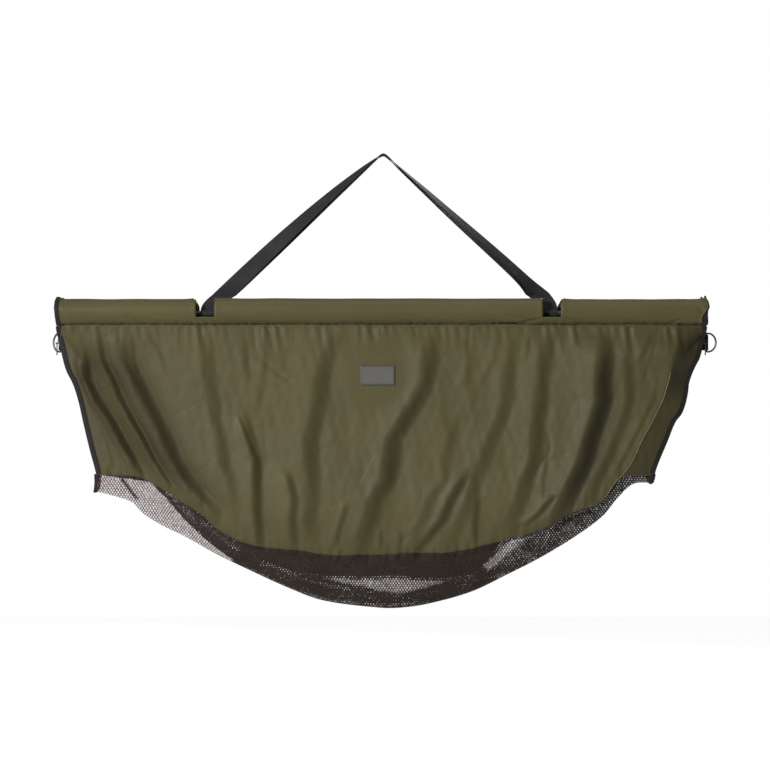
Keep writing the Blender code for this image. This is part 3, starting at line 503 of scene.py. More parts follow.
def sleeve_surface(side, x, turn):
    """Points of the cover at places along it and angles round it, of which -90 degrees is the seam: a
    round tube that loses gathers, soft waves, creases and a sag, and gains a hem round each notch. Its
    end edges stand out, and the lips of its notches lean with the strap."""
    seed = SLEEVE_SEED[side]
    outward, up = np.cos(turn), np.sin(turn)
    radius = np.full_like(x, SLEEVE_R)
    seam = eased(1 - np.abs(turn + math.pi / 2) / 0.9)
    gather = ripple(x, 0.016, seed) + 0.6 * ripple(x, 0.008, seed + 1)
    radius -= SEAM_TUCK * seam * (1 + gather)
    radius -= SOFT_WAVE * (1 + ripple_field(x, turn * 0.05, 0.09, seed + 2))
    slant = ripple(x + turn * 0.012, 0.05, seed + 3)
    radius -= SLANT_WAVE * (1 + slant) * eased(1 - np.abs(turn + 0.5) / 1.2)
    outer = eased((NOTCHES["left"][0] - x) / 0.03) + eased((x - NOTCHES["right"][1]) / 0.03)
    radius -= OUTER_SAG * outer * eased(up / 0.8)
    for end, edge in EDGES.items():
        radius += end_peak(end, turn, np.abs(x - edge))
    if side == "front":
        radius -= front_creases(x, SLEEVE_Z + SLEEVE_R * up) * (outward > 0)
    for low, high in NOTCHES.values():
        near = np.minimum(np.abs(x - low), np.abs(x - high))
        inside = (x > low - TINY) & (x < high + TINY)
        hem = np.exp(-((near / HEM_REACH) ** 4)) * (~inside | (near < 10 * TINY))
        radius += HEM_RISE * hem
        pinch = np.exp(-(near / 0.03) ** 2) * ripple(turn * 0.02, 0.012, seed + 5)
        radius -= NOTCH_PINCH * (1 + pinch)
    y = radius * outward
    z = SLEEVE_Z + radius * up
    moved = np.array(x)
    for end, edge in EDGES.items():
        moved = moved + ENDS[end] * end_bulge(end, up) * np.exp(-np.abs(x - edge) / 0.012)
    for name, (low, high) in NOTCHES.items():
        middle_edge, outer_edge = (high, low) if name == "left" else (low, high)
        away = ENDS[name]
        flare = eased((z - (SLEEVE_Z + 0.009)) / 0.016)
        reach = np.exp(-np.abs(x - outer_edge) / 0.014) * ((x - outer_edge) * away >= -TINY)
        moved = moved + away * NOTCH_FLARE * flare * reach
        past = (x - middle_edge) * -away
        leaning = eased((0.046 - past) / 0.014) * (past > -TINY)
        rise = eased((z - POLE_Z) / (STRAP_TOP_Z - POLE_Z))
        strap_y = between(SLEEVE_Y - LOOP_R, STRAP_LOW_Y, rise) + STRAP_ROOM
        wanted = np.maximum(SLEEVE_Y + y, strap_y) - SLEEVE_Y
        y = between(y, wanted, leaning * (z > POLE_Z))
    return np.stack([moved, SIDES[side] * (SLEEVE_Y + y), z], -1)


# The closed end: how large each ring of the end disc is, and how far it stands out of the end edge
END_RINGS = ((0.97, 0.0012), (0.90, 0.0022), (0.6, 0.0027), (0.3, 0.0029), (0.02, 0.003))


def end_rings(rim, away):
    """Rings of points that close the sleeve's end, from the rim in to the middle."""
    centre = rim.mean(axis=0)
    rings = []
    for share, out in END_RINGS:
        ring = centre + (rim - centre) * share
        ring[:, 0] = rim[:, 0] + away * out
        rings.append(ring[:, None])
    return rings


def sleeve_cover(side):
    """The cover's grid of rows round the sleeve and columns along it, with the ends' rings on both sides
    and without the quads above the lip of each notch."""
    x = sleeve_columns()
    lip = math.asin((NOTCH_LIP - SLEEVE_Z) / SLEEVE_R)
    below = np.linspace(-math.pi / 2, lip, 15)
    above = np.linspace(lip, math.pi - lip, 60)
    turn = np.concatenate([below[:-1], above, math.pi - below[::-1][1:]])
    grid_x, grid_turn = np.meshgrid(x, turn)
    points = sleeve_surface(side, grid_x, grid_turn)
    left, right = end_rings(points[:, 0], ENDS["left"]), end_rings(points[:, -1], ENDS["right"])
    points = np.concatenate([*left[::-1], points, *right], axis=1)
    pad = len(END_RINGS)
    middle = (x[:-1] + x[1:]) / 2
    cut = np.zeros(len(middle), bool)
    for low, high in NOTCHES.values():
        cut |= (middle > low) & (middle < high)
    cut = np.pad(cut, pad)
    rows = (turn[:-1] + turn[1:]) / 2
    open_row = (rows > lip) & (rows < math.pi - lip)
    keep = ~(open_row[:, None] & cut[None, :])
    uv = np.stack(np.meshgrid(np.pad(x, pad, "edge"), turn * SLEEVE_R), -1)
    made = grid(f"{side}_sleeve_cover", points, uv, keep, flip=side == "front")
    thicken(made, SLEEVE_CLOTH)
    finish_piece(made, OLIVE, [f"{side}_sleeve"])


for side in SIDES:
    sleeve_cover(side)


# Sleeve end bindings. Black woven tape is folded over the edge where each sleeve's end disc is sewn in.
# The right ends also show a row of pale stitches, just inside the tape.
BINDING_OUTLINE = (
    (-0.0075, 0.0002), (-0.0073, 0.0012), (-0.0012, 0.0014), (-0.0004, 0.0009), (-0.0001, 0.0),
    (-0.0003, -0.0060), (-0.0012, -0.0064), (-0.0016, -0.0006),
)
TAPE_EDGE = math.radians(50)
STITCH_PITCH, STITCH_THICK = 0.0036, 0.0007
END_STITCH_PITCH, END_STITCH_THICK = 0.0032, 0.0006


def webbing_material(name, colour, sheen, level, own_uv=True):
    """Woven tape and webbing: ribs across that run in a zigzag, as a sine of the length plus a folded
    width, over a plain weave. Swept pieces have no map and take their x and z for it."""
    made, tree, shader = material(name)
    place = coordinates(tree, "Object")
    if own_uv:
        uv = coordinates(tree, "UV")
    else:
        parts = node(tree, "ShaderNodeSeparateXYZ", {0: place})
        uv = node(tree, "ShaderNodeCombineXYZ", {0: parts.outputs[0], 1: parts.outputs[2]}).outputs[0]
    parts = node(tree, "ShaderNodeSeparateXYZ", {0: uv})
    zigzag = maths(tree, "PINGPONG", parts.outputs[0], 0.005)
    along = maths(tree, "MULTIPLY_ADD", zigzag, 0.8, parts.outputs[1])
    ribs = maths(tree, "SINE", maths(tree, "MULTIPLY", along, 2 * math.pi / 0.0016))
    height, _ = weave(tree, uv, 0.0008)
    broad, fine = wear(tree, place, 0.03)
    tone = maths(tree, "MULTIPLY_ADD", ribs, 0.18, from_noise(tree, broad, 0.2, 0.8))
    pale, deep = [(*(part * c for c in colour[:3]), 1.0) for part in (1.35, 0.7)]
    feed(tree, shader, {
        "Base Color": mixed(tree, tone, deep, pale), "Roughness": from_noise(tree, fine, 0.62, 0.8),
        "Sheen Weight": sheen, "Specular IOR Level": level,
    })
    coarse = bump(tree, shader, ribs, 0.0001, 0.12)
    bump(tree, shader, height, 0.00005, 0.1, coarse)
    return made


TAPE_LOOK = webbing_material("black_tape_look", (0.013, 0.0115, 0.010, 1.0), 0.03, 0.2, own_uv=False)
PALE_THREAD = plain_material("pale_thread_look", (0.42, 0.39, 0.29, 1), (0.30, 0.28, 0.2, 1), 0.6, 0.8)


def unit(vectors):
    """Each vector, one metre long."""
    return vectors / np.maximum(np.linalg.norm(vectors, axis=-1, keepdims=True), 1e-9)


def repeat(name, form_points, form_faces, centres, axes):
    """One small form laid down at every centre, turned to the three axes given for it. Where they mirror
    the form, its faces are turned over."""
    turned = np.einsum("pk,nkj->npj", form_points, axes) + centres[:, None, :]
    mirrored = np.linalg.det(axes)[:, None, None] < 0
    faces = np.where(mirrored, form_faces[:, ::-1], form_faces)
    faces = faces + (np.arange(len(centres)) * len(form_points))[:, None, None]
    return make_mesh(name, turned.reshape(-1, 3), faces.reshape(-1, form_faces.shape[1]).tolist())


def walked_along(line):
    """Length along a line of points, up to each of them."""
    return np.concatenate([[0.0], np.cumsum(np.linalg.norm(np.diff(line, axis=0), axis=1))])


def read_off(at, walked, rows):
    """Each column of rows, known at the walked lengths, read off at the lengths in at."""
    return np.stack([np.interp(at, walked, column) for column in rows.T], -1)


def stitch_form(length, thick):
    """One stitch: six-sided rings along a shallow arc that dips at both ends, with closed ends."""
    along = np.array([-0.5, -0.32, 0.0, 0.32, 0.5]) * length
    rise = np.array([-0.55, 0.25, 0.5, 0.25, -0.55]) * thick
    girth = np.array([0.55, 0.95, 1.0, 0.95, 0.55]) * thick / 2
    turn = np.arange(6) * math.pi / 3
    across, up = girth[:, None] * np.cos(turn), rise[:, None] + girth[:, None] * np.sin(turn)
    points = np.stack([np.broadcast_to(along[:, None], up.shape), across, up], -1).reshape(-1, 3)
    index = np.arange(len(points)).reshape(len(along), 6)
    following = np.roll(index, -1, axis=1)
    sides = np.stack([index[:-1], following[:-1], following[1:], index[1:]], -1).reshape(-1, 4)
    first, last = index[0], index[-1]
    ends = [first[[5, 4, 3, 2]], first[[5, 2, 1, 0]], last[[0, 1, 2, 3]], last[[0, 3, 4, 5]]]
    return points, np.concatenate([sides, ends])


def stitch_line(name, line, normal, look, pitch=STITCH_PITCH, thick=STITCH_THICK):
    """Stitches at every pitch along a seam, whose points and outward directions lie close together. Each
    is turned to the seam's direction there, taken over a millimetre."""
    walked = walked_along(line)
    at = np.arange(pitch / 2, walked[-1], pitch)
    tangent = unit(read_off(at + 0.0005, walked, line) - read_off(at - 0.0005, walked, line))
    across = unit(np.cross(unit(read_off(at, walked, normal)), tangent))
    up = np.cross(tangent, across)
    points, faces = stitch_form(pitch * 0.78, thick)
    centres = read_off(at, walked, line) + up * thick * 0.1
    made = repeat(name, points, faces, centres, np.stack([tangent, across, up], 1))
    finish_piece(made, look)


def lowness(turn):
    """0 on the upper part of the sleeve's end, eased up to 1 near its seam."""
    return eased((0.25 - np.sin(turn)) / 0.9)


def sleeve_end_binding(side, end):
    """A ring round the sleeve's end that carries the tape's folded outline; on the right end the outline
    is wider below than above."""
    turn = np.linspace(-math.pi / 2, 1.5 * math.pi, 108, endpoint=False)
    away = ENDS[end]
    spoke = np.stack([np.zeros_like(turn), np.cos(turn) * SIDES[side], np.sin(turn)], -1)
    reach = SLEEVE_R - 0.0002 + 0.0002 * np.sin(9 * turn) + end_peak(end, turn, 0.003)
    path = np.array([0.0, SIDES[side] * SLEEVE_Y, SLEEVE_Z]) + spoke * reach[:, None]
    path[:, 0] = EDGES[end] + away * end_bulge(end, np.sin(turn))
    outline = np.tile(np.array(BINDING_OUTLINE), (len(turn), 1, 1))
    if end == "right":
        wider = between(0.45, 1.75, lowness(turn))
        outline[:, :2, 0] = outline[:, :2, 0] * wider[:, None]
    along_x = np.tile([away, 0.0, 0.0], (len(turn), 1))
    made = sweep(f"{side}_sleeve_binding_{end}", path, (along_x, spoke), outline, closed=True)
    made.data.set_sharp_from_angle(angle=TAPE_EDGE)
    finish_piece(made, TAPE_LOOK, [f"{side}_binding_{end}"])


def end_stitches(side):
    """A row of stitches down the outside of the right end, along the inner edge of the tape."""
    turn = np.linspace(1.25, -1.2, 60)
    inset = 0.0006 + between(0.0034, 0.0131, lowness(turn))
    spoke = np.stack([0 * turn, np.cos(turn) * SIDES[side], np.sin(turn)], -1)
    line = np.array([0, SIDES[side] * SLEEVE_Y, SLEEVE_Z]) + spoke * (SLEEVE_R + 0.0004)
    line[:, 0] = RIGHT_X + end_bulge("right", np.sin(turn)) - inset
    stitch_line(f"{side}_end_stitches", line, spoke, PALE_THREAD,
                END_STITCH_PITCH, END_STITCH_THICK)


for side in SIDES:
    for end in ENDS:
        sleeve_end_binding(side, end)
    end_stitches(side)


# Carrying straps. Each is one length of charcoal webbing: round the pole in the left notch, up over the
# hook point, where it lies edge-on with the other strap, and down round the pole in the right notch.
NOTCH_CENTRE = {"left": -0.3272, "right": 0.3088}
LOOP_X = {"left": -0.3238, "right": 0.3076}
BOW = {
    "left": ((0, 0), (0.031, 0.0040), (0.092, 0.0080), (0.187, 0.0087), (0.29, 0.0060)),
    "right": (
        (0, 0), (0.03, 0.0), (0.078, 0.0037), (0.115, 0.0061), (0.195, 0.0130), (0.232, 0.0150),
        (0.28, 0.0150),
    ),
}
APEX_Z, HOOK_R = 0.00175, 0.004
HALF_WEB, WEB_THICK, WEB_ROUND, WEB_NEST = 0.015, 0.0015, 0.0003, 0.00095
QUARTER = math.pi / 2
LOOP_DEGREES, LOOP_WIDTH, LEVEL_SHARE = 300, 0.86, 0.22

STRAP_LOOK = webbing_material("charcoal_webbing_look", (0.0200, 0.0200, 0.0203, 1.0), 0.02, 0.12)


def curve_through(table, at):
    """A smooth curve through a table of (place, height): cubics that pass each place with the slope
    between its two neighbours."""
    places, heights = np.array(table).T
    before = np.maximum(np.arange(len(places)) - 1, 0)
    after = np.minimum(np.arange(len(places)) + 1, len(places) - 1)
    slopes = (heights[after] - heights[before]) / (places[after] - places[before])
    k = np.clip(np.searchsorted(places, at) - 1, 0, len(places) - 2)
    run = places[k + 1] - places[k]
    t = (at - places[k]) / run
    return (
        (2 * t**3 - 3 * t**2 + 1) * heights[k] + (t**3 - 2 * t**2 + t) * slopes[k] * run
        + (3 * t**2 - 2 * t**3) * heights[k + 1] + (t**3 - t**2) * slopes[k + 1] * run
    )


def strap_steepness(end):
    """Slope of a hyperbola, rounded at the hook, that goes from the hook point to the notch."""
    return math.sqrt((APEX_Z - POLE_Z + HOOK_R) ** 2 - HOOK_R**2) / abs(NOTCH_CENTRE[end])


def strap_twist(end, share):
    """How far the webbing has turned at a share of its rise: a quarter turn at the hook point."""
    if end == "left":
        return QUARTER * (0.87 * share + 0.13 * share**10)
    return QUARTER * (0.66 * (1 - np.exp(-share / 0.04)) + 0.34 * share**2.2)


def strap_arm(side, end, x):
    """Centre and half-width vector of the arm where the straps' middle line, a hyperbola, is at x. The
    webbing stands off the middle line, and its cross lines are level low down, where it folds."""
    steep = strap_steepness(end)
    root = np.hypot(steep * x, HOOK_R)
    z = APEX_Z + HOOK_R - root
    slope = -(steep**2) * x / root
    angle = np.arctan(slope)
    share = np.clip((z - STRAP_TOP_Z) / (APEX_Z - STRAP_TOP_Z), 0, 1)
    twist = strap_twist(end, share)
    zero = np.zeros_like(x)
    along = np.stack([np.cos(angle), zero, np.sin(angle)], -1)
    below = np.stack([np.sin(angle), zero, -np.cos(angle)], -1)
    across = np.stack([zero, zero + 1, zero], -1)
    turn_cos, turn_sin = np.cos(twist)[:, None], np.sin(twist)[:, None]
    facing = turn_cos * across + turn_sin * below
    width = HALF_WEB * (turn_cos * below - turn_sin * across)
    level = 1 - eased(share / LEVEL_SHARE)
    lean = np.where(level > 0, HALF_WEB * level * np.cos(twist) / np.where(slope == 0, 1, slope), 0)
    width = width + along * lean[:, None]
    gap = between(STRAP_LOW_Y, WEB_NEST, share)[:, None]
    bowed = x + ENDS[end] * curve_through(BOW[end], np.abs(x))
    return np.stack([bowed, zero, z], -1) + SIDES[side] * gap * facing, width


def strap_half(side, end):
    """Rows of centre and half-width, from under the pole up to just before the hook point: 300 degrees
    round the pole, an S up to the sleeve's top, and the arm."""
    root = APEX_Z + HOOK_R - STRAP_TOP_Z
    start = ENDS[end] * math.sqrt(root**2 - HOOK_R**2) / strap_steepness(end)
    arm_x = start * np.linspace(1, 0, 150)[:-1] ** 1.25
    arm_centre, arm_width = strap_arm(side, end, arm_x)
    arm_width = arm_width * np.sign(arm_width[0, 0])
    turn = np.radians(np.linspace(LOOP_DEGREES, 0, 56))
    loop_y = SIDES[side] * (SLEEVE_Y - LOOP_R * np.cos(turn))
    loop_centre = np.stack([0 * turn + LOOP_X[end], loop_y, POLE_Z - LOOP_R * np.sin(turn)], -1)
    loop_width = np.tile([HALF_WEB * LOOP_WIDTH, 0.0, 0.0], (len(turn), 1))
    share = np.linspace(0, 1, 26)[1:-1, None]
    low, high = loop_centre[-1], arm_centre[0]
    rise = np.concatenate([
        between(low[0], high[0], share**1.9), between(low[1], high[1], eased(share)),
        between(low[2], high[2], share),
    ], axis=1)
    rise_width = between(loop_width[-1], arm_width[0], share)
    centre = np.concatenate([loop_centre, rise, arm_centre])
    return centre, np.concatenate([loop_width, rise_width, arm_width])


def strap_webbing(side):
    """A ribbon of 13 lines from one edge to the other, along both halves and over the hook point."""
    left_centre, left_width = strap_half(side, "left")
    right_centre, right_width = strap_half(side, "right")
    hand = np.sign(left_width[-1, 1])
    top = np.array([[0.0, 0.0, APEX_Z - SIDES[side] * WEB_NEST]])
    top_width = np.array([[0.0, HALF_WEB, 0.0]]) * hand
    flip = hand * np.sign(right_width[-1, 1])
    centre = np.concatenate([left_centre, top, right_centre[::-1]])
    width = np.concatenate([left_width, top_width, flip * right_width[::-1]])
    share = np.linspace(-1, 1, 13)
    points = centre[:, None] + share[None, :, None] * width[:, None]
    uv = np.stack(np.meshgrid(share * HALF_WEB, walked_along(centre)), -1)
    made = grid(f"{side}_webbing", points, uv)
    thicken(made, WEB_THICK)
    soften = made.modifiers.new("soft_edges", "BEVEL")
    soften.width = WEB_ROUND
    soften.segments = 2
    made.data.materials.append(STRAP_LOOK)
    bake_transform(made)
    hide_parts(f"{side}_strap", f"{side}_strap_loop_left", f"{side}_strap_loop_right")


for side in SIDES:
    strap_webbing(side)


# Panels. Each is one sheet of the olive cloth, cut to a boat shape, sewn under its sleeve and zipped to
# the other at both ends. It hangs as a shallow hull, narrow at the ends, with folds down its own lines.
PANEL_TOP, CORNER_Z, ZIP_TOP = -0.3145, -0.5918, -0.3317
SEAM_Z = PANEL_TOP - 0.0015
END_Y, FOOT_Y, END_DRAW, MIDDLE_DRAW = 0.009, 0.048, 0.0195, 0.085
LEFT_LEAN, RIGHT_LEAN = 0.0742, 0.0974
PANEL_CLOTH, PANEL_DEPTH = 0.0007, {"front": 0.424, "rear": 0.470}
PANEL_COLUMNS, PANEL_ROWS = 300, 135
HEM_SEED, PANEL_SEED = {"front": 31, "rear": 41}, {"front": 51, "rear": 61}
LABEL_MIDDLE, LABEL_CALM = (-0.0111, -0.4067), 0.045

# How deep the soft and the fine drape, the tucks at the hem and the gathers under the sleeve are, and how
# wavy the hem is
SOFT_DRAPE, FINE_DRAPE, HEM_TUCK, SEAM_GATHER, HEM_WAVE = 0.0009, 0.0004, 0.0012, 0.0020, 0.0011

# How far the hem hangs below the corners, as shares of the sag, against the share of the way across
HEM_SHAPES = {
    "front": (
        (0, 0), (0.06, 0), (0.07, 0), (0.10, 0.10), (0.15, 0.31), (0.19, 0.49), (0.22, 0.69), (0.28, 0.87),
        (0.35, 0.93), (0.44, 1), (0.55, 0.975), (0.63, 0.96), (0.70, 0.865), (0.80, 0.66), (0.86, 0.43),
        (0.905, 0.32), (0.937, 0.04), (0.950, 0), (0.960, 0), (1, 0),
    ),
    "rear": (
        (0, 0), (0.06, 0), (0.07, 0), (0.10, 0.07), (0.15, 0.22), (0.19, 0.35), (0.22, 0.49), (0.25, 0.62),
        (0.275, 0.74), (0.295, 0.83), (0.35, 0.932), (0.44, 0.985), (0.545, 0.985), (0.60, 1), (0.66, 0.985),
        (0.69, 0.90), (0.725, 0.66), (0.76, 0.55), (0.80, 0.48), (0.86, 0.32), (0.905, 0.235), (0.937, 0.03),
        (0.950, 0), (0.960, 0), (1, 0),
    ),
}
SAG = {"front": 0.147, "rear": 0.192}

# How far the zipped edges stand out to the right of a straight line, in millimetres, against the share
# of the way down the zip
LEFT_WAVE = (
    (0, 0), (0.06, -0.4), (0.12, -1.6), (0.25, -2.2), (0.35, 3.2), (0.475, 4.2), (0.63, 1.8), (0.82, -0.5),
    (0.93, -0.8), (1, -1.4),
)
RIGHT_WAVE = (
    (0, 0), (0.06, 0.8), (0.10, 3.2), (0.14, 4.4), (0.175, 4.8), (0.215, 3.0), (0.27, 1.8), (0.34, 2.4),
    (0.41, 7.0), (0.486, 10.2), (0.56, 10.2), (0.62, 4.4), (0.76, 3.0), (0.87, 1.6), (0.94, 1.2), (1, 2.4),
)

# Each fold is a step in the cloth: it stands proud at the left of its line and drops back at the right.
# The numbers are the step, half its width and the reach of its shoulders in millimetres, then the line.
FOLDS = {
    "front": (
        (3, 4, 8, ((-0.558, -0.325), (-0.558, -0.353))),
        (3, 4, 8, ((-0.536, -0.325), (-0.536, -0.353))),
        (34, 12, 13, ((-0.552, -0.357), (-0.549, -0.416), (-0.530, -0.452), (-0.505, -0.489),
            (-0.485, -0.526), (-0.464, -0.563), (-0.451, -0.588))),
        (32, 10.5, 11, ((-0.526, -0.335), (-0.519, -0.379), (-0.501, -0.416), (-0.486, -0.452),
            (-0.466, -0.489), (-0.444, -0.526), (-0.424, -0.563), (-0.402, -0.599), (-0.389, -0.616))),
        (46, 21, 20, ((-0.482, -0.338), (-0.480, -0.379), (-0.461, -0.416), (-0.441, -0.452),
            (-0.422, -0.489), (-0.405, -0.526), (-0.388, -0.563), (-0.366, -0.599), (-0.333, -0.636),
            (-0.315, -0.658))),
        (4.5, 4.5, 10, ((-0.464, -0.331), (-0.459, -0.379), (-0.453, -0.401))),
        (3, 3.5, 8, ((-0.527, -0.498), (-0.512, -0.526), (-0.503, -0.563), (-0.496, -0.585))),
        (2, 3, 6, ((-0.530, -0.526), (-0.519, -0.563), (-0.516, -0.585))),
        (3, 6, 14, ((-0.435, -0.327), (-0.411, -0.370), (-0.396, -0.416))),
        (8, 13, 30, ((-0.325, -0.331), (-0.323, -0.379), (-0.321, -0.416), (-0.313, -0.452),
            (-0.308, -0.489), (-0.299, -0.526), (-0.295, -0.563), (-0.280, -0.599), (-0.271, -0.645),
            (-0.264, -0.682))),
        (3.5, 7, 16, ((-0.220, -0.333), (-0.216, -0.379), (-0.222, -0.416), (-0.229, -0.452))),
        (3, 5, 12, ((-0.253, -0.338), (-0.253, -0.379), (-0.249, -0.416))),
        (16, 10, 26, ((-0.258, -0.480), (-0.245, -0.526), (-0.233, -0.563), (-0.233, -0.599),
            (-0.233, -0.636), (-0.231, -0.673), (-0.227, -0.719))),
        (12, 9, 18, ((-0.179, -0.581), (-0.172, -0.599), (-0.163, -0.636), (-0.168, -0.673), (-0.165, -0.710),
            (-0.163, -0.728))),
        (13, 16, 34, ((-0.091, -0.324), (-0.104, -0.379), (-0.113, -0.416), (-0.117, -0.452),
            (-0.124, -0.489), (-0.133, -0.526), (-0.133, -0.563), (-0.131, -0.599), (-0.131, -0.636),
            (-0.137, -0.673), (-0.128, -0.719))),
        (7, 6, 12, ((-0.069, -0.645), (-0.076, -0.673), (-0.087, -0.710), (-0.093, -0.728))),
        (18, 18, 40, ((0.093, -0.327), (0.084, -0.379), (0.078, -0.416), (0.063, -0.452), (0.041, -0.489),
            (0.018, -0.526), (0.014, -0.563), (0.008, -0.599), (-0.014, -0.636), (-0.023, -0.673),
            (-0.038, -0.710), (-0.043, -0.732))),
        (5, 5, 8, ((-0.005, -0.691), (-0.006, -0.724))),
        (5, 5, 8, ((0.030, -0.695), (0.032, -0.724))),
        (6, 11, 22, ((0.132, -0.489), (0.124, -0.526), (0.115, -0.563), (0.111, -0.599), (0.087, -0.636),
            (0.073, -0.673), (0.056, -0.710), (0.049, -0.728))),
        (15, 10, 22, ((0.152, -0.585), (0.144, -0.599), (0.124, -0.636), (0.108, -0.673), (0.078, -0.710),
            (0.063, -0.728))),
        (3, 7, 18, ((0.146, -0.333), (0.159, -0.379), (0.152, -0.425))),
        (9, 14, 30, ((0.249, -0.327), (0.234, -0.379), (0.231, -0.416), (0.227, -0.452), (0.216, -0.489),
            (0.198, -0.526), (0.185, -0.563), (0.170, -0.599), (0.159, -0.636), (0.144, -0.673),
            (0.126, -0.710))),
        (9, 7, 14, ((0.174, -0.632), (0.168, -0.673), (0.168, -0.710))),
        (2.5, 5, 12, ((0.212, -0.333), (0.203, -0.379), (0.185, -0.416))),
        (3, 4, 10, ((0.271, -0.331), (0.260, -0.379))),
        (14, 15, 28, ((0.308, -0.327), (0.297, -0.379), (0.292, -0.416), (0.290, -0.452), (0.284, -0.489),
            (0.284, -0.526), (0.279, -0.563), (0.262, -0.599), (0.253, -0.636), (0.236, -0.673))),
        (3, 3.5, 8, ((0.306, -0.526), (0.299, -0.563), (0.293, -0.599), (0.292, -0.636))),
        (12, 7, 12, ((0.312, -0.627), (0.288, -0.658), (0.264, -0.680))),
        (38, 19, 28, ((0.409, -0.331), (0.406, -0.379), (0.402, -0.416), (0.404, -0.452), (0.393, -0.489),
            (0.380, -0.526), (0.371, -0.563), (0.354, -0.599), (0.337, -0.636), (0.319, -0.673))),
        (3.5, 5, 12, ((0.356, -0.329), (0.356, -0.353))),
        (9, 11, 18, ((0.451, -0.331), (0.448, -0.379), (0.453, -0.425), (0.453, -0.452), (0.444, -0.489),
            (0.428, -0.526), (0.413, -0.563), (0.394, -0.599), (0.380, -0.636))),
        (4, 5, 10, ((0.494, -0.329), (0.481, -0.360), (0.470, -0.382))),
        (4, 5, 12, ((0.503, -0.425), (0.497, -0.452), (0.479, -0.489), (0.459, -0.526), (0.440, -0.563),
            (0.428, -0.590))),
    ),
    "rear": (
        (5, 9, 20, ((-0.560, -0.380), (-0.520, -0.480), (-0.470, -0.580))),
        (8, 11, 26, ((-0.480, -0.340), (-0.440, -0.450), (-0.390, -0.580), (-0.350, -0.660))),
        (5, 12, 26, ((-0.318, -0.320), (-0.312, -0.450), (-0.290, -0.600))),
        (7, 14, 34, ((-0.200, -0.330), (-0.180, -0.480), (-0.159, -0.700))),
        (6, 14, 34, ((-0.050, -0.325), (-0.055, -0.500), (-0.060, -0.740))),
        (7, 13, 30, ((0.090, -0.350), (0.069, -0.520), (0.039, -0.740))),
        (7, 11, 26, ((0.301, -0.320), (0.285, -0.480), (0.250, -0.650))),
        (9, 11, 26, ((0.420, -0.340), (0.390, -0.480), (0.350, -0.650))),
        (7, 9, 20, ((0.529, -0.370), (0.490, -0.480), (0.440, -0.600))),
    ),
}

# Finer creases and tucks of the front cloth: depth and half width in millimetres, then the line. Each is
# a narrow valley with a low lip beside it.
CREASES = (
    (2.6, 2.6, ((-0.268, -0.470), (-0.2442, -0.5275), (-0.225, -0.572))),
    (1.6, 3.0, ((-0.166, -0.413), (-0.182, -0.421), (-0.191, -0.427))),
    (1.8, 4.0, ((-0.231, -0.374), (-0.198, -0.398), (-0.163, -0.426))),
    (1.4, 3.0, ((0.303, -0.502), (0.306, -0.545), (0.276, -0.594))),
    (1.2, 3.0, ((0.505, -0.335), (0.492, -0.385), (0.474, -0.432))),
    (1.4, 3.0, ((0.020, -0.7235), (0.052, -0.700), (0.071, -0.680))),
)

# The pleat at the right end: the cloth stands up to this line and runs straight back from it to the zip
PLEAT = (
    (0.538, -0.351), (0.525, -0.416), (0.514, -0.452), (0.496, -0.489), (0.475, -0.526), (0.459, -0.563),
    (0.444, -0.585), (0.426, -0.603), (0.406, -0.634),
)
PLEAT_RISE, PLEAT_REACH = 0.027, 0.150

# Painted shade, as the share by which the panels' colour is darkened: everywhere, near the hem, towards
# either end, in a fold as deep as DEEP_FOLD millimetres, beside the left zip and behind the pleat, and at
# most
PAINTED_SHADE_PARTS = {
    "everywhere": 0.07, "hem": 0.07, "right": 0.05, "left": 0.07, "fold": 0.54, "zip": 0.24, "pleat": 0.35,
    "most": 0.62,
}
DEEP_FOLD = 34


def x_of(line, z):
    """Where a line of (x, z) points, given from the top down, stands at a height."""
    places, heights = np.array(line)[::-1].T
    return np.interp(z, heights, places)


def pleat_rise(x, z):
    """How far the pleat stands out: straight up from the zip to its line, and a bell to the left of it."""
    foot = end_edges(z)[1] - 0.008
    line = x_of(PLEAT, z)
    near = np.clip((foot - x) / (foot - line), 0, 1)
    left = np.maximum(line - x, 0)
    return PLEAT_RISE * near * np.exp(-((left / PLEAT_REACH) ** 1.3)) * eased((PANEL_TOP - 0.006 - z) / 0.055)


def end_edges(z):
    """The two end edges at a height: straight at the sleeve, then down the slanting, wavy zips."""
    t = np.clip((ZIP_TOP - z) / (ZIP_TOP - CORNER_Z), 0, 1)
    left = LEFT_X + LEFT_LEAN * t + 0.001 * curve_through(LEFT_WAVE, t)
    right = RIGHT_X - RIGHT_LEAN * t + 0.001 * curve_through(RIGHT_WAVE, t)
    return left, right


def hem_line(side, across):
    """Height of the hem: the corners' height less its share of the sag, and a little unevenness."""
    low = CORNER_Z - SAG[side] * curve_through(HEM_SHAPES[side], across)
    return low + HEM_WAVE * both_ends(across, 0.06) * ripple(across, 0.06, HEM_SEED[side])


def beside_fold(line, x, z):
    """Distance to the right of a fold's line in millimetres, and the share of its height gone down."""
    top, low = line[0][1], line[-1][1]
    return (x - x_of(line, z)) * 1000, (top - z) / (top - low)


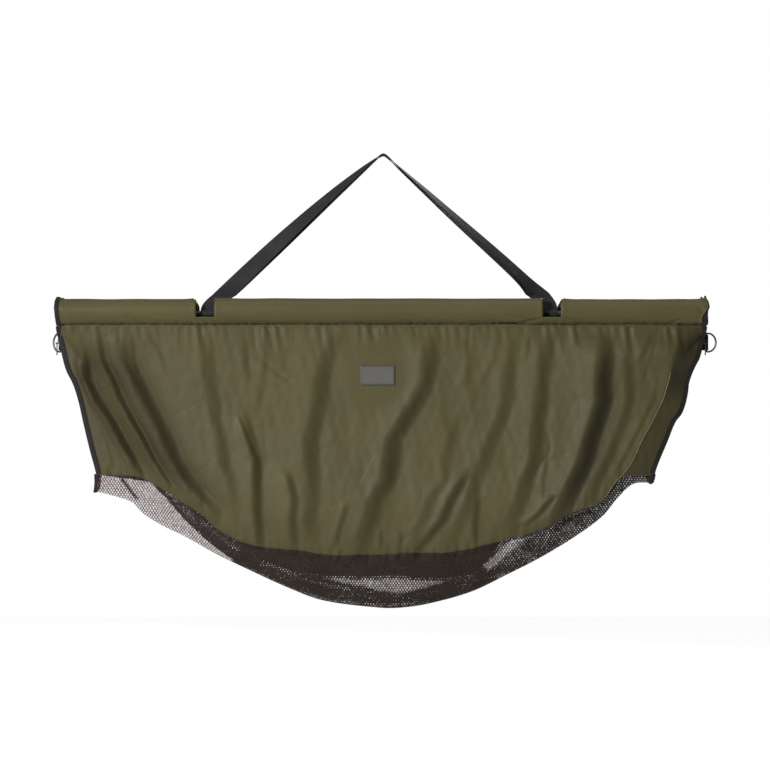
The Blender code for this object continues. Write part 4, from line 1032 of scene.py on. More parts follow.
def fold_sum(side, x, z):
    """Depth of all folds and creases. A fold is a ramp between two shoulders that die off sideways."""
    total = np.zeros_like(x)
    for step, half, reach, line in FOLDS[side]:
        away, down = beside_fold(line, x, z)
        fade = both_ends(down, 0.25, 0.35, 0.6)
        proud = -0.62 * np.exp(-np.maximum(-away, 0) / reach)
        back = 0.38 * np.exp(-np.maximum(away, 0) / reach)
        wall = np.clip(away / (2 * half) + 0.5, 0, 1)
        total += step * 0.001 * fade * between(proud, back, between(eased(wall), wall, 0.6))
    if side == "rear":
        return total
    for depth, width, line in CREASES:
        near, share = line_distance(x, z, line)
        away = near / (width * 0.001)
        lip = 0.30 * np.exp(-0.5 * ((away - 2.4) / 1.0) ** 2)
        valley = np.exp(-np.sqrt(away**2 + 0.08) * 1.3)
        total += depth * 0.001 * both_ends(share, 0.3, 0.15, 0.15) * (valley - lip)
    return total


def painted_shade_share(side, x, z, hem):
    """Painted shade at a place, as the share by which its colour is darkened: a bell across each fold, more
    for deep ones, and more near the hem, towards both ends, beside the left zip and behind the pleat."""
    total = PAINTED_SHADE_PARTS["everywhere"] + PAINTED_SHADE_PARTS["hem"] * eased(1 - (z - hem) / 0.10)
    total = total + PAINTED_SHADE_PARTS["right"] * eased((x - 0.20) / 0.2) + PAINTED_SHADE_PARTS["left"] * eased((-0.25 - x) / 0.2)
    for step, half, _, line in FOLDS[side]:
        away, down = beside_fold(line, x, z)
        reach = half * np.where(away > 0, 1.6, 1.15)
        bell = both_ends(down, 0.3, 0.1, 0.1) * np.exp(-((away / reach) ** 2))
        total = total + min(step / DEEP_FOLD, 1) * PAINTED_SHADE_PARTS["fold"] * bell
    if side == "front":
        beside = np.exp(-(((x - end_edges(z)[0] - 0.030) / 0.028) ** 2))
        total = total + PAINTED_SHADE_PARTS["zip"] * beside * eased((-0.335 - z) / 0.03) * eased((z + 0.56) / 0.06)
        behind = eased((x - x_of(PLEAT, z)) / 0.006) * eased((z + 0.470) / 0.060)
        total = total + PAINTED_SHADE_PARTS["pleat"] * behind
    return np.clip(total, 0, PAINTED_SHADE_PARTS["most"])


def hull_y(side, across, z):
    """Half width of the sling at a share of the way across and a height, without any folds: it goes from
    the sleeve's line to the hem's half width, drawn in at the foot, and to the zips near the ends."""
    left, right = end_edges(z)
    x = between(left, right, across)
    down = (PANEL_TOP - z) / (PANEL_TOP - hem_line(side, across))
    foot = between(END_Y, FOOT_Y, 1 - np.abs(2 * across - 1) ** 2.4)
    drawn_in = 1 - 0.36 * (np.maximum(down - 0.7, 0) / 0.3) ** 2
    hanging = between(SLEEVE_Y, foot, 0.6 * eased(down) + 0.4 * down) * drawn_in
    from_end = np.minimum(x - left, right - x)
    pull = np.exp(-((np.maximum(0, from_end - 0.026) / 0.095) ** 2))
    draw = between(END_DRAW, MIDDLE_DRAW, eased((from_end - 0.004) / 0.040))
    return between(hanging, END_Y, pull * eased((SEAM_Z - z) / draw)), x, from_end


def panel_y(side, across, z):
    """Half width with the folds, soft drape, tucks at the hem and gathers under the sleeve taken off. The
    zips and the label hold the cloth, and folds grow shallow where the two sides come close."""
    half, x, from_end = hull_y(side, across, z)
    seed = PANEL_SEED[side]
    drape = fold_sum(side, x, z)
    drape = drape + SOFT_DRAPE * ripple_field(x, z, 0.055, seed, 2.6)
    drape = drape + FINE_DRAPE * ripple_field(x, z, 0.020, seed + 1, 2.0)
    below_seam = np.maximum(PANEL_TOP - z, 0) / 0.030
    gather = ripple(x + 0.2 * (z - PANEL_TOP), 0.022, seed + 2) + 0.7 * ripple(x, 0.0125, seed + 3)
    rise = z - hem_line(side, across)
    tuck = ripple(x, 0.016, seed + 4) + 0.6 * ripple(x - 0.3 * rise, 0.024, seed + 5)
    drape = drape + HEM_TUCK * tuck * np.exp(-np.maximum(rise / 0.020, 0) ** 1.2)
    calm = 1.0
    if side == "front":
        calm = eased(np.hypot(x - LABEL_MIDDLE[0], z - LABEL_MIDDLE[1]) / LABEL_CALM - 1)
        half = half + pleat_rise(x, z)
    drape = drape * eased((SEAM_Z - z) / 0.030)
    gather = gather * (0.75 + 0.55 * ripple(x, 0.10, seed + 6))
    drape = drape + SEAM_GATHER * gather * np.exp(-below_seam**1.3) * eased(below_seam * 5)
    held = eased((from_end - 0.010) / 0.016)
    room = np.where(drape > 0, np.clip((half - 0.0025) / 0.012, 0, 1), 1.0)
    return half - drape * held * calm * room


def panel_points(side, across, z):
    """Points of a panel at shares of the way across and heights."""
    left, right = end_edges(z)
    return np.stack([between(left, right, across), SIDES[side] * panel_y(side, across, z), z], -1)


def panel_columns(count):
    """Shares of the way across, closer together near both ends."""
    share = np.linspace(0, 1, count)
    return share - 0.10 * np.sin(2 * math.pi * share) / (2 * math.pi)


def paint(made, name, values):
    """One number for each point of a piece, which its look reads as an attribute."""
    layer = made.data.attributes.new(name, "FLOAT", "POINT")
    layer.data.foreach_set("value", values.astype(np.float32).ravel())


def panel(side):
    """The panel's grid, from just inside the sleeve's seam down to the hem."""
    across = panel_columns(PANEL_COLUMNS)
    down = np.linspace(0, 1, PANEL_ROWS) ** 1.15
    grid_across, grid_down = np.meshgrid(across, down)
    hem = hem_line(side, grid_across)
    points = panel_points(side, grid_across, between(PANEL_TOP + 0.003, hem, grid_down))
    x, z = points[..., 0], points[..., 2]
    made = grid(f"{side}_panel_cloth", points, np.stack([x, z], -1), flip=side == "rear")
    thicken(made, PANEL_CLOTH)
    # Painted shade: each point's share of darkening, which the cloth's look reads as "shade"
    paint(made, "shade", painted_shade_share(side, x, z, hem))
    finish_piece(made, OLIVE, [f"{side}_panel"])


for side in SIDES:
    panel(side)


# Seams of the panels. Olive thread: a row of stitches under the sleeve and two rows along the hem. A thin
# pale line of thread down the pleat's fold is a painted highlight, for the light caught along the fold's
# edge.
SLEEVE_SEAM_DROP, HEM_ROWS, SEAM_LIFT = 0.0035, (0.003, 0.0075), 0.0004
PLEAT_HIGHLIGHT_THREAD = {"top": -0.400, "foot": -0.632, "pitch": 0.0042, "thick": 0.0009, "lift": 0.0006}
OLIVE_THREAD = plain_material("olive_thread_look", (0.075, 0.072, 0.038, 1), (0.055, 0.052, 0.027, 1),
                              0.5, 0.7)


def along_panel(side, across, z, lift):
    """Points lifted off the panel's outer face along its normals, which are the products of its slopes
    across and down."""
    points = panel_points(side, across, z)
    step = panel_points(side, across + 0.0008, z) - panel_points(side, across - 0.0008, z)
    fall = panel_points(side, across, z - 0.001) - panel_points(side, across, z + 0.001)
    normal = unit(np.cross(step, fall))
    normal = normal * np.sign(normal[:, 1:2]) * SIDES[side]
    return points + normal * lift, normal


def share_across(x, z):
    """The share of the way from the left edge to the right one at a height."""
    left, right = end_edges(z)
    return (x - left) / (right - left)


for side in SIDES:
    across = np.linspace(0.012, 0.988, 900)
    hem = hem_line(side, across)
    rows = {"sleeve_seam": 0 * across + PANEL_TOP - SLEEVE_SEAM_DROP}
    rows.update({f"hem_seam_{row}": hem + rise for row, rise in enumerate(HEM_ROWS)})
    for name, z in rows.items():
        line, normal = along_panel(side, across, z, SEAM_LIFT)
        stitch_line(f"{side}_{name}", line, normal, OLIVE_THREAD)

# Painted highlight: pale thread along the pleat's line, where the fold's edge catches the light
fall = np.linspace(PLEAT_HIGHLIGHT_THREAD["top"], PLEAT_HIGHLIGHT_THREAD["foot"], 400)
line, normal = along_panel("front", share_across(x_of(PLEAT, fall), fall), fall, PLEAT_HIGHLIGHT_THREAD["lift"])
stitch_line("front_pleat_painted_highlight", line, normal, PALE_THREAD,
            PLEAT_HIGHLIGHT_THREAD["pitch"], PLEAT_HIGHLIGHT_THREAD["thick"])


# Label. A small blank patch of grey woven satin with a slightly darker rim, sewn down all round on the
# calm middle of the front panel.
LABEL_LEFT, LABEL_RIGHT, LABEL_TOP, LABEL_LOW = -0.0434, 0.0211, -0.3882, -0.4252
LABEL_THICK, LABEL_LIFT, LABEL_INSET = 0.0008, 0.0012, 0.0022
LABEL_CENTRE, LABEL_FIELD = (0.03225, 0.0185), (0.0302, 0.0165)
LABEL_STITCH_LIFT, LABEL_PITCH, LABEL_THREAD = 0.0018, 0.0026, 0.0005


def label_material():
    """A fine weave of two near greys, darker where the place is further from the middle than the field."""
    made, tree, shader = material("grey_label_look")
    uv = coordinates(tree, "UV")
    parts = node(tree, "ShaderNodeSeparateXYZ", {0: uv})
    height, over = weave(tree, uv, 0.0005)
    beyond = []
    for k, (centre, half) in enumerate(zip(LABEL_CENTRE, LABEL_FIELD)):
        away = maths(tree, "ABSOLUTE", maths(tree, "SUBTRACT", parts.outputs[k], centre))
        beyond.append(maths(tree, "GREATER_THAN", away, half))
    rim = maths(tree, "MAXIMUM", *beyond)
    field = mixed(tree, over, (0.058, 0.057, 0.050, 1), (0.073, 0.071, 0.063, 1))
    feed(tree, shader, {
        "Base Color": mixed(tree, rim, field, (0.050, 0.050, 0.046, 1)),
        "Roughness": spread(tree, over, 0.0, 1.0, 0.4, 0.55),
    })
    bump(tree, shader, height, 0.0001, 0.5)
    return made


LABEL = label_material()


def label_patch():
    """A rectangle laid on the panel's surface and lifted straight off it."""
    x, z = np.meshgrid(np.linspace(LABEL_LEFT, LABEL_RIGHT, 40), np.linspace(LABEL_TOP, LABEL_LOW, 24))
    points = panel_points("front", share_across(x, z), z)
    points[..., 1] -= LABEL_LIFT
    made = grid("label_patch", points, np.stack([x - LABEL_LEFT, z - LABEL_LOW], -1))
    thicken(made, LABEL_THICK)
    finish_piece(made, LABEL, ["label"])


def label_stitches():
    """A rectangle of stitches inside the patch's edge, read off from corner to corner."""
    left, right = LABEL_LEFT + LABEL_INSET, LABEL_RIGHT - LABEL_INSET
    top, low = LABEL_TOP - LABEL_INSET, LABEL_LOW + LABEL_INSET
    corners = np.array([(left, top), (right, top), (right, low), (left, low), (left, top)])
    x, z = read_off(np.linspace(0, 4, 240), np.arange(5), corners).T
    line = panel_points("front", share_across(x, z), z)
    line[:, 1] -= LABEL_STITCH_LIFT
    normal = np.tile([0.0, SIDES["front"], 0.0], (len(line), 1))
    stitch_line("label_stitches", line, normal, TAPE_LOOK, LABEL_PITCH, LABEL_THREAD)


label_patch()
label_stitches()


# Mesh base. One piece of brown knitted net, sewn to both hems and hanging between them as a boat. It is
# open at the lower left and in the middle, and bunched almost closed elsewhere.
NET_LOW, NET_END_DEPTHS = -0.8374, (0.031, 0.014)
NET_PITCH, NET_LEAN, NET_ROWS, NET_SWAY = 0.0052, 0.62, 150, 0.0012

# Depth of the net's bottom, as shares of the deepest, against the share of the way across
BELLY_SHAPE = (
    (0, 0), (0.035, 0.045), (0.064, 0.10), (0.08, 0.185), (0.114, 0.29), (0.16, 0.40), (0.215, 0.548),
    (0.261, 0.654), (0.343, 0.832), (0.406, 0.939), (0.507, 1), (0.545, 1), (0.595, 0.967), (0.673, 0.867),
    (0.736, 0.731), (0.80, 0.584), (0.862, 0.416), (0.909, 0.26), (0.934, 0.126), (0.962, 0.01), (1, 0),
)

# Where the net hangs open, as lines of (x, z): below the first at the left end, above the second in the
# middle, thinly along the third at the right of the middle and along the fourth at the lower right edge
OPEN_LEFT = (
    (-0.5300, -0.5900), (-0.4300, -0.6038), (-0.4129, -0.6227), (-0.4006, -0.6333), (-0.3877, -0.6501),
    (-0.3690, -0.6712), (-0.3479, -0.6923), (-0.3266, -0.7113), (-0.3057, -0.7282), (-0.2840, -0.7440),
)
OPEN_MIDDLE = (
    (-0.1685, -0.7610), (-0.1405, -0.7739), (-0.1123, -0.7815), (-0.0841, -0.7890), (-0.0560, -0.7945),
    (-0.0340, -0.7962), (-0.0150, -0.8050), (0.0230, -0.8098), (0.0653, -0.8036), (0.1075, -0.7909),
    (0.1387, -0.7803), (0.1500, -0.7730),
)
OPEN_BAND = ((0.1850, -0.7640), (0.2020, -0.7530), (0.2200, -0.7350), (0.2390, -0.7180), (0.2600, -0.7040))
OPEN_EDGE = (
    (0.3286, -0.7150), (0.3682, -0.6815), (0.4000, -0.6560), (0.4150, -0.6400), (0.4380, -0.6130),
    (0.4560, -0.5990), (0.4740, -0.5985),
)

# Streaks where fewer layers lie on each other: the line, its half width and how closely it is bunched
STREAKS = (
    (((-0.1990, -0.7622), (-0.1667, -0.7740), (-0.1497, -0.7832), (-0.1218, -0.7908), (-0.0974, -0.7966),
      (-0.0470, -0.8030)), 0.0034, 0.55),
    (((-0.3400, -0.6750), (-0.3090, -0.7000), (-0.2850, -0.7200), (-0.2600, -0.7330)), 0.0034, 0.58),
    (((-0.2260, -0.7560), (-0.1950, -0.7610), (-0.1600, -0.7640)), 0.0026, 0.52),
    (((-0.2600, -0.7640), (-0.2200, -0.7800), (-0.1600, -0.8060), (-0.1000, -0.8240), (0.0000, -0.8320),
      (0.0800, -0.8270)), 0.0026, 0.66),
)
OPEN_LINES = (*STREAKS, (OPEN_BAND, 0.0095, 0.30), (OPEN_EDGE, 0.0055, 0.52))

# How closely the net is bunched in each of its zones, and the rear half as a share of the front one
BUNCHED = {
    "most": 0.95, "right": 0.60, "beside": 0.52, "left": 0.06, "crease": 0.95, "middle": 0.36, "behind": 0.70,
    "seam": 0.9, "rear": 0.5,
}
LEFT_CREASE = ((-0.4870, -0.5950), (-0.4760, -0.6100), (-0.4650, -0.6250), (-0.4570, -0.6340))


def mesh_material():
    """Two sets of slanting threads with holes between, open where a place is further from both than the
    threads are wide. The attribute "gathered" widens the threads until only small sparkling holes are left,
    and a veil stands for holes that are too small to see. It also runs the threads' colour from a pale pink
    where the net hangs open, which is painted light for the light through the thin translucent threads, to
    the net's own dark brown where it is bunched."""
    made, tree, shader = material("brown_mesh_look")
    place = coordinates(tree, "Object")
    bunched = node(tree, "ShaderNodeAttribute", attribute_name="gathered").outputs["Fac"]
    parts = node(tree, "ShaderNodeSeparateXYZ", {0: coordinates(tree, "UV")})
    threads = []
    for lean in (-NET_LEAN, NET_LEAN):
        across = maths(tree, "MULTIPLY_ADD", parts.outputs[1], lean, parts.outputs[0])
        near = maths(tree, "PINGPONG", across, NET_PITCH / 2)
        threads.append(maths(tree, "DIVIDE", near, NET_PITCH / 2))
    lowest = maths(tree, "MINIMUM", *threads)
    facing = node(tree, "ShaderNodeLayerWeight", {"Blend": 0.5}).outputs["Facing"]
    speckle = node(tree, "ShaderNodeTexNoise", {"Vector": place, "Scale": 250.0, "Detail": 1.0}).outputs[0]
    patch = node(tree, "ShaderNodeTexNoise", {"Vector": place, "Scale": 60.0, "Detail": 2.0}).outputs[0]
    share = maths(tree, "MULTIPLY_ADD", bunched, 0.7, 0.3)
    change = maths(tree, "ADD", from_noise(tree, speckle, -0.30, 0.30), from_noise(tree, patch, -0.08, 0.08))
    uneven = maths(tree, "MULTIPLY", share, change)
    edge_on = spread(tree, facing, 0.5, 1.0, 0.0, 0.15)
    even = spread(tree, bunched, 0.0, 1.0, 0.21, 0.93)
    width = maths(tree, "ADD", even, maths(tree, "ADD", uneven, edge_on))
    thread = maths(tree, "LESS_THAN", lowest, width)
    hole = maths(tree, "SUBTRACT", 1.0, width)
    cover = maths(tree, "SUBTRACT", 1.0, maths(tree, "MULTIPLY", hole, hole))
    veil_in = spread(tree, bunched, 0.0, 0.36, 0.15, 0.5)
    veil_out = spread(tree, bunched, 0.45, 0.60, 1.0, 0.0)
    veil = maths(tree, "MULTIPLY", veil_in, veil_out)
    broad, fine = wear(tree, place, 0.05)
    closed = mixed(tree, broad, (0.012, 0.0078, 0.0050, 1.0), (0.024, 0.0158, 0.0108, 1.0))
    # Painted light: open threads take a pale pink for the light through them, and bunched ones keep the net's
    # own dark brown
    brown = spread(tree, bunched, 0.12, 0.50)
    feed(tree, shader, {
        "Base Color": mixed(tree, brown, (0.105, 0.056, 0.064, 1.0), closed),
        "Roughness": from_noise(tree, fine, 0.55, 0.75), "Specular IOR Level": 0.2,
        "Alpha": maths(tree, "MULTIPLY_ADD", veil, maths(tree, "SUBTRACT", cover, thread), thread),
    })
    bump(tree, shader, maths(tree, "SUBTRACT", 1.0, lowest), 0.0004, 0.7)
    return made


NET = mesh_material()


def height_of(line, x):
    """How high a line of (x, z) points, given from left to right, stands at a place."""
    return np.interp(x, *np.array(line).T)


def gathered(x, z, hem, rear_hem):
    """How closely the net is bunched at a place, from 0 where it hangs open to 1 where it is closed. Each
    zone in turn takes over from the one before it, with soft edges."""
    close = BUNCHED["most"] + 0.05 * ripple_field(x, z, 0.05, 83)
    right = BUNCHED["right"] + 0.14 * ripple_field(x, z, 0.03, 84)
    close = between(close, right, eased((x - 0.18) / 0.06))
    below = height_of(OPEN_LEFT, x) - z
    left = eased(below / 0.0030 + 0.5) * eased((-0.278 - x) / 0.012 + 0.5)
    zone = eased((0.0150 - np.abs(below + 0.0170)) / 0.010) * eased((-0.345 - x) / 0.02 + 0.5)
    beside = BUNCHED["beside"] + 0.18 * ripple_field(x, z, 0.008, 85)
    close = between(close, beside, 0.95 * zone * (below < 0))
    close = between(close, BUNCHED["left"], left)
    crease, _ = line_distance(x, z, LEFT_CREASE)
    close = np.maximum(close, BUNCHED["crease"] * np.exp(-((crease / 0.0022) ** 2)))
    above = z - height_of(OPEN_MIDDLE, x)
    middle = eased(above / 0.0030 + 0.5) * eased((x + 0.172) / 0.010) * eased((0.153 - x) / 0.010)
    close = between(close, BUNCHED["middle"], middle * eased((rear_hem + 0.001 - z) / 0.004))
    behind = eased((z - rear_hem + 0.003) / 0.006) * eased((x + 0.25) / 0.03) * eased((0.20 - x) / 0.03)
    close = between(close, BUNCHED["behind"], behind)
    for line, width, wanted in OPEN_LINES:
        near, share = line_distance(x, z, line)
        close = between(close, wanted, np.exp(-((near / width) ** 4)) * both_ends(share, 0.1, 0.2, 0.2))
    seam = np.exp(-(((hem - z) / 0.004) ** 2)) * eased((x + 0.36) / 0.05)
    return np.clip(np.maximum(close, BUNCHED["seam"] * seam), 0, 1)


def base_points(across, turn):
    """Points of the net, where turn runs from -90 degrees at the front hem to 90 at the rear one: half an
    oval at each share of the way across, from one hull to the other, that meets the hems as they lie."""
    rim = {side: panel_points(side, across, hem_line(side, across)) for side in SIDES}
    hulls = {side: hull_y(side, across, rim[side][..., 2])[0] for side in SIDES}
    front = turn < 0
    rim_point = np.where(front[..., None], rim["front"], rim["rear"])
    hull = np.where(front, -hulls["front"], hulls["rear"])
    end_depth = between(*NET_END_DEPTHS, across)
    bottom = between(CORNER_Z - end_depth, NET_LOW, curve_through(BELLY_SHAPE, across))
    sway = NET_SWAY * ripple_field(across * 1.05, turn * 0.05, 0.07, 71)
    loose = np.sin(np.abs(turn) * 2).clip(0) * both_ends(across, 0.08)
    tight = eased((np.abs(turn) - 1.40) / 0.17)
    y = between(hull, rim_point[..., 1], tight) * np.abs(np.sin(turn)) + sway * loose
    z = between(bottom, rim_point[..., 2] - 0.0002, 1 - np.cos(turn))
    return np.stack([rim_point[..., 0], y, z], -1)


def mesh_base():
    """The net's grid. Its map measures height along the net, so that the threads keep their pitch, and
    the rear half is less closely bunched than the front one."""
    turn = np.radians(np.linspace(-90, 90, NET_ROWS))
    grid_across, grid_turn = np.meshgrid(panel_columns(PANEL_COLUMNS), turn)
    rear = grid_turn > 0
    points = base_points(grid_across, grid_turn)
    x, z = points[..., 0], points[..., 2]
    steps = np.linalg.norm(np.diff(points, axis=0), axis=2)
    walked = np.concatenate([np.zeros((1, points.shape[1])), np.cumsum(steps, axis=0)])
    bottom = len(turn) // 2
    height = z[bottom] + np.abs(walked - walked[bottom]) + 0.0012 * rear
    made = grid("mesh_base_net", points, np.stack([x, height], -1), flip=True)
    close = gathered(x, z, *(hem_line(side, grid_across) for side in SIDES))
    paint(made, "gathered", close * between(1.0, BUNCHED["rear"], rear))
    finish_piece(made, NET, ["mesh_base"])


mesh_base()


# End zips. On each end edge a black tape is folded over the cloth of both panels and sewn down, and two
# rows of moulded teeth meet in the middle, locked one between the next.
TAPE_OUTLINE = (
    (-0.0085, 0.0008), (-0.0083, 0.0014), (0.0004, 0.0015), (0.0011, 0.0009), (0.0012, -0.0002),
    (0.0012, -0.0062), (0.0004, -0.0063), (0.0003, 0.0004), (-0.0004, 0.0006),
)
TAPE_TOP, TAPE_BEND, TAPE_FOOT = -0.3172, -0.335, -0.5905
TAPE_STITCH_TOP, TAPE_STITCH_LIFT, TAPE_STITCH_INSET = -0.334, 0.0016, 0.0062
TAPE_STITCH_PITCH, TAPE_STITCH_THICK = 0.0034, 0.0006
TEETH_TOP, TEETH_FOOT, TOOTH_PITCH = -0.3355, -0.5880, 0.0016
TOOTH_HALF, TOOTH_OUT, TOOTH_SIDE = np.array([0.0012, 0.0019, 0.00055]), 0.0007, 0.0012
TOOTH_RINGS = ((-0.9, 0.55), (-0.6, 1.0), (0.6, 1.0), (1.0, 0.7))
TOOTH_EDGE = math.radians(30)

TEETH = plain_material("zip_teeth_look", (0.035, 0.035, 0.035, 1), (0.02, 0.02, 0.02, 1), 0.3, 0.45)


def end_path(end, z):
    """Middle of the end edge at each height, with the directions out from it and along it."""
    left, right = end_edges(z)
    x = left if end == "left" else right
    line = np.stack([x, np.zeros_like(x), z], -1)
    tangent = unit(np.gradient(line, axis=0))
    out = unit(np.cross(np.array([0.0, ENDS[end], 0.0]), tangent))
    out = out * np.sign(out[:, :1]) * ENDS[end]
    return line, out, tangent


def zip_tape(side, end):
    """The tape's folded outline carried down the end edge, which leaves the sleeve and draws in."""
    z = np.concatenate([np.linspace(TAPE_TOP, TAPE_BEND, 18)[:-1], np.linspace(TAPE_BEND, TAPE_FOOT, 130)])
    line, out, _ = end_path(end, z)
    outward = np.tile([0.0, SIDES[side], 0.0], (len(z), 1))
    path = line + outward * between(SLEEVE_Y, END_Y, eased((SEAM_Z - z) / END_DRAW))[:, None]
    made = sweep(f"{side}_zip_binding_{end}", path, (out, outward), np.array(TAPE_OUTLINE))
    made.data.set_sharp_from_angle(angle=TAPE_EDGE)
    finish_piece(made, TAPE_LOOK, [f"{side}_zip_tape_{end}"])
    rows = z < TAPE_STITCH_TOP
    sewn = path[rows] + outward[rows] * TAPE_STITCH_LIFT - out[rows] * TAPE_STITCH_INSET
    stitch_line(f"{side}_zip_stitches_{end}", sewn, outward[rows], TAPE_LOOK,
                TAPE_STITCH_PITCH, TAPE_STITCH_THICK)


def tooth_form():
    """One tooth: four rectangles across it, smaller at both tips, joined and closed."""
    corners = np.array([(-1, -1), (1, -1), (1, 1), (-1, 1)])
    points = [
        (a * TOOTH_HALF[0] * girth, depth * TOOTH_HALF[1] + TOOTH_SIDE, b * TOOTH_HALF[2] * girth)
        for depth, girth in TOOTH_RINGS for a, b in corners
    ]
    index = np.arange(16).reshape(4, 4)
    following = np.roll(index, -1, axis=1)
    sides = np.stack([index[1:], following[1:], following[:-1], index[:-1]], -1).reshape(-1, 4)
    return np.array(points), np.concatenate([index[:1], index[-1:, ::-1], sides])


def zip_teeth(end):
    """Teeth of both rows at every pitch, turned by the edge's own directions and by turns to each side."""
    line, out, tangent = end_path(end, np.linspace(TEETH_TOP, TEETH_FOOT, 400))
    walked = walked_along(line)
    at = np.arange(TOOTH_PITCH / 2, walked[-1], TOOTH_PITCH)
    centre, out_at, tangent_at = (read_off(at, walked, rows) for rows in (line, out, tangent))
    out_at, tangent_at = unit(out_at), unit(tangent_at)
    hand = np.where(np.arange(len(at)) % 2 == 0, 1.0, -1.0)
    across = np.stack([0 * hand, hand, 0 * hand], -1)
    points, faces = tooth_form()
    axes = np.stack([out_at, across, tangent_at], 1)
    made = repeat(f"zip_teeth_{end}", points, faces, centre + out_at * TOOTH_OUT, axes)
    made.data.set_sharp_from_angle(angle=TOOTH_EDGE)
    finish_piece(made, TEETH)


for end in ENDS:
    for side in SIDES:
        zip_tape(side, end)
    zip_teeth(end)


# End patches. A pouch of black cloth wraps the lower corner of each end below the zip: a tapering tip at
# the left and a rounded tail at the right. Each row gives height, outer x, inner x and half thickness.
PATCH_ROWS = {
    "left": (
        (-0.5895, -0.5349, -0.5290, 0.0030), (-0.5900, -0.5362, -0.5240, 0.0098),
        (-0.5990, -0.5358, -0.5232, 0.0098), (-0.6060, -0.5357, -0.5236, 0.0080),
        (-0.6120, -0.5362, -0.5248, 0.0062), (-0.6180, -0.5370, -0.5262, 0.0046),
        (-0.6225, -0.5377, -0.5290, 0.0032), (-0.6242, -0.5376, -0.5325, 0.0018),
    ),
    "right": (
        (-0.5895, 0.5030, 0.4930, 0.0030), (-0.5900, 0.5045, 0.4880, 0.0098),
        (-0.5950, 0.5038, 0.4862, 0.0098), (-0.6000, 0.5026, 0.4868, 0.0090),
        (-0.6045, 0.5012, 0.4890, 0.0070), (-0.6072, 0.4990, 0.4915, 0.0045),
        (-0.6084, 0.4970, 0.4935, 0.0018),
    ),
}


def end_pouch(end):
    """A rounded outline carried down the rows of sizes, with a soft unevenness round it."""
    rows = np.array(PATCH_ROWS[end])
    at = np.linspace(0, len(rows) - 1, 40)
    z, outer, inner, half = read_off(at, np.arange(len(rows)), rows).T
    turn = np.linspace(0, 2 * math.pi, 40, endpoint=False)
    outline = np.stack([np.sign(np.cos(turn)) * np.abs(np.cos(turn)) ** 0.7, np.sin(turn)], -1)
    outline = outline[None] * np.stack([(outer - inner) / 2, half], -1)[:, None]
    outline = outline * (1 + 0.03 * np.sin(3 * turn[None] + 900 * z[:, None]))[..., None]
    path = np.stack([(outer + inner) / 2, 0 * z, z], -1)
    axes = (np.tile([1.0, 0, 0], (len(z), 1)), np.tile([0, 1.0, 0], (len(z), 1)))
    made = sweep(f"end_pouch_{end}", path, axes, outline)
    made.data.set_sharp_from_angle(angle=TAPE_EDGE)
    finish_piece(made, TAPE_LOOK, [f"zip_end_patch_{end}"])


for end in ENDS:
    end_pouch(end)


# Zip sliders and pulls, and the D-rings in their webbing tabs. The sliders, pulls and rings are cast and
# bent gunmetal, and each tab is a folded strap sewn under the sleeve. All keep their CAD shapes.
METAL = plain_material("gunmetal_look", (0.13, 0.13, 0.122, 1), (0.085, 0.085, 0.08, 1), 0.48, 0.62, 1.0)

for end in ENDS:
    dress(f"zip_slider_{end}", METAL)
    dress(f"zip_pull_{end}", METAL)
    dress(f"ring_tab_{end}", TAPE_LOOK)
    dress(f"d_ring_{end}", METAL)


# Room. A pale floor far below, white surroundings that only the camera sees, a strong soft light from the
# upper left, and weak ones from the right, from above and from behind.
FLOOR_Z, FLOOR_REACH = -1.35, 6.0
MIDDLE = (0, 0, -0.5)
LAMPS = (
    ("key", (-3.2, -4.6, 1.2), MIDDLE, (0.9, 0.9), 365),
    ("fill", (2.2, -3.0, 0.4), MIDDLE, (1.8, 1.8), 4),
    ("top", (0.2, -0.3, 2.2), (0, 0, -0.4), (1.6, 1.0), 24),
    ("back", (1.8, 3.6, 0.9), MIDDLE, (1.6, 1.2), 110),
)
scene = bpy.context.scene


def seen_directly(tree):
    """1 for what the camera sees directly or through something clear, and 0 for light on the sling."""
    rays = node(tree, "ShaderNodeLightPath")
    return maths(tree, "MAXIMUM", rays.outputs["Is Camera Ray"], rays.outputs["Is Transmission Ray"])


def surroundings():
    """White where it is seen directly, and a weak warm light on the sling."""
    world = bpy.data.worlds.new("room")
    scene.world = world
    world.use_nodes = True
    tree = world.node_tree
    tree.nodes.clear()
    out = tree.nodes.new("ShaderNodeOutputWorld")
    seen = node(tree, "ShaderNodeBackground", {"Color": (1, 1, 1, 1), "Strength": 1.0})
    room = node(tree, "ShaderNodeBackground", {"Color": (1.0, 0.99, 0.97, 1), "Strength": 0.07})
    both = node(tree, "ShaderNodeMixShader", {0: seen_directly(tree), 1: room.outputs[0], 2: seen.outputs[0]})
    feed(tree, out, {"Surface": both.outputs[0]})


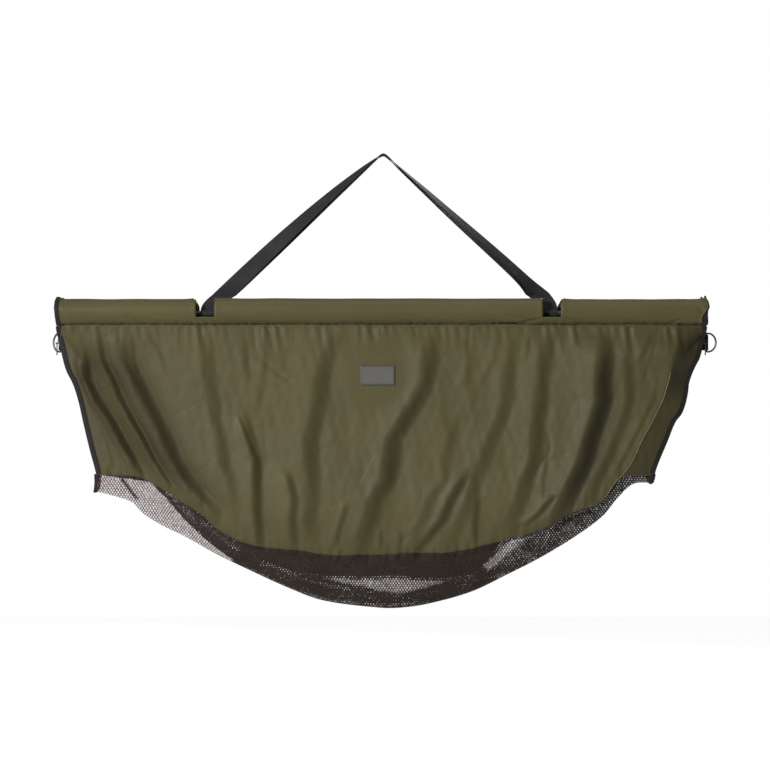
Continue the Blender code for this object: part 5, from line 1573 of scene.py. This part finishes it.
def lamp(name, place, aim, size, power):
    """A flat lamp of a size, turned from its place to its aim."""
    data = bpy.data.lights.new(name, "AREA")
    data.shape = "RECTANGLE"
    data.size, data.size_y = size
    data.energy = power
    made = bpy.data.objects.new(name, data)
    scene.collection.objects.link(made)
    made.location = place
    made.rotation_euler = (Vector(aim) - Vector(place)).to_track_quat("-Z", "Y").to_euler()


def pale_floor():
    """One large square, which glows where it is seen directly and keeps the sling's shadow."""
    reach, level = FLOOR_REACH, FLOOR_Z
    corners = [(-reach, -reach, level), (reach, -reach, level), (reach, reach, level), (-reach, reach, level)]
    mesh = bpy.data.meshes.new("floor")
    mesh.from_pydata(corners, [], [(0, 1, 2, 3)])
    floor = bpy.data.objects.new("floor", mesh)
    scene.collection.objects.link(floor)
    made, tree, shader = material("pale_floor")
    feed(tree, shader, {"Base Color": (0.8, 0.8, 0.8, 1), "Roughness": 0.9})
    strength = maths(tree, "MULTIPLY", seen_directly(tree), 0.85)
    glow = node(tree, "ShaderNodeEmission", {"Color": (1, 1, 1, 1), "Strength": strength})
    lit = node(tree, "ShaderNodeAddShader", {0: shader.outputs[0], 1: glow.outputs[0]})
    surface = next(n for n in tree.nodes if n.type == "OUTPUT_MATERIAL").inputs["Surface"]
    tree.links.new(lit.outputs[0], surface)
    mesh.materials.append(made)


surroundings()
for given in LAMPS:
    lamp(*given)
pale_floor()


# Camera. Level with the middle of the sling and far back, as in a catalogue picture. Its lens takes in
# VIEW_WIDTH metres at the front cloth, which hangs FRONT_CLOTH metres nearer than the origin.
CAMERA_X, CAMERA_Z, CAMERA_AWAY = 0.0028, -0.4247, 5.2
VIEW_WIDTH, FRONT_CLOTH, FILM_WIDTH = 1.4215, 0.02, 36.0

lens = bpy.data.cameras.new("camera")
lens.lens = FILM_WIDTH * (CAMERA_AWAY - FRONT_CLOTH) / VIEW_WIDTH
lens.clip_end = 50.0
camera = bpy.data.objects.new("camera", lens)
scene.collection.objects.link(camera)
camera.location = (CAMERA_X, -CAMERA_AWAY, CAMERA_Z)
camera.rotation_euler = (math.radians(90), 0, 0)
scene.camera = camera
scene.view_settings.view_transform = "Standard"
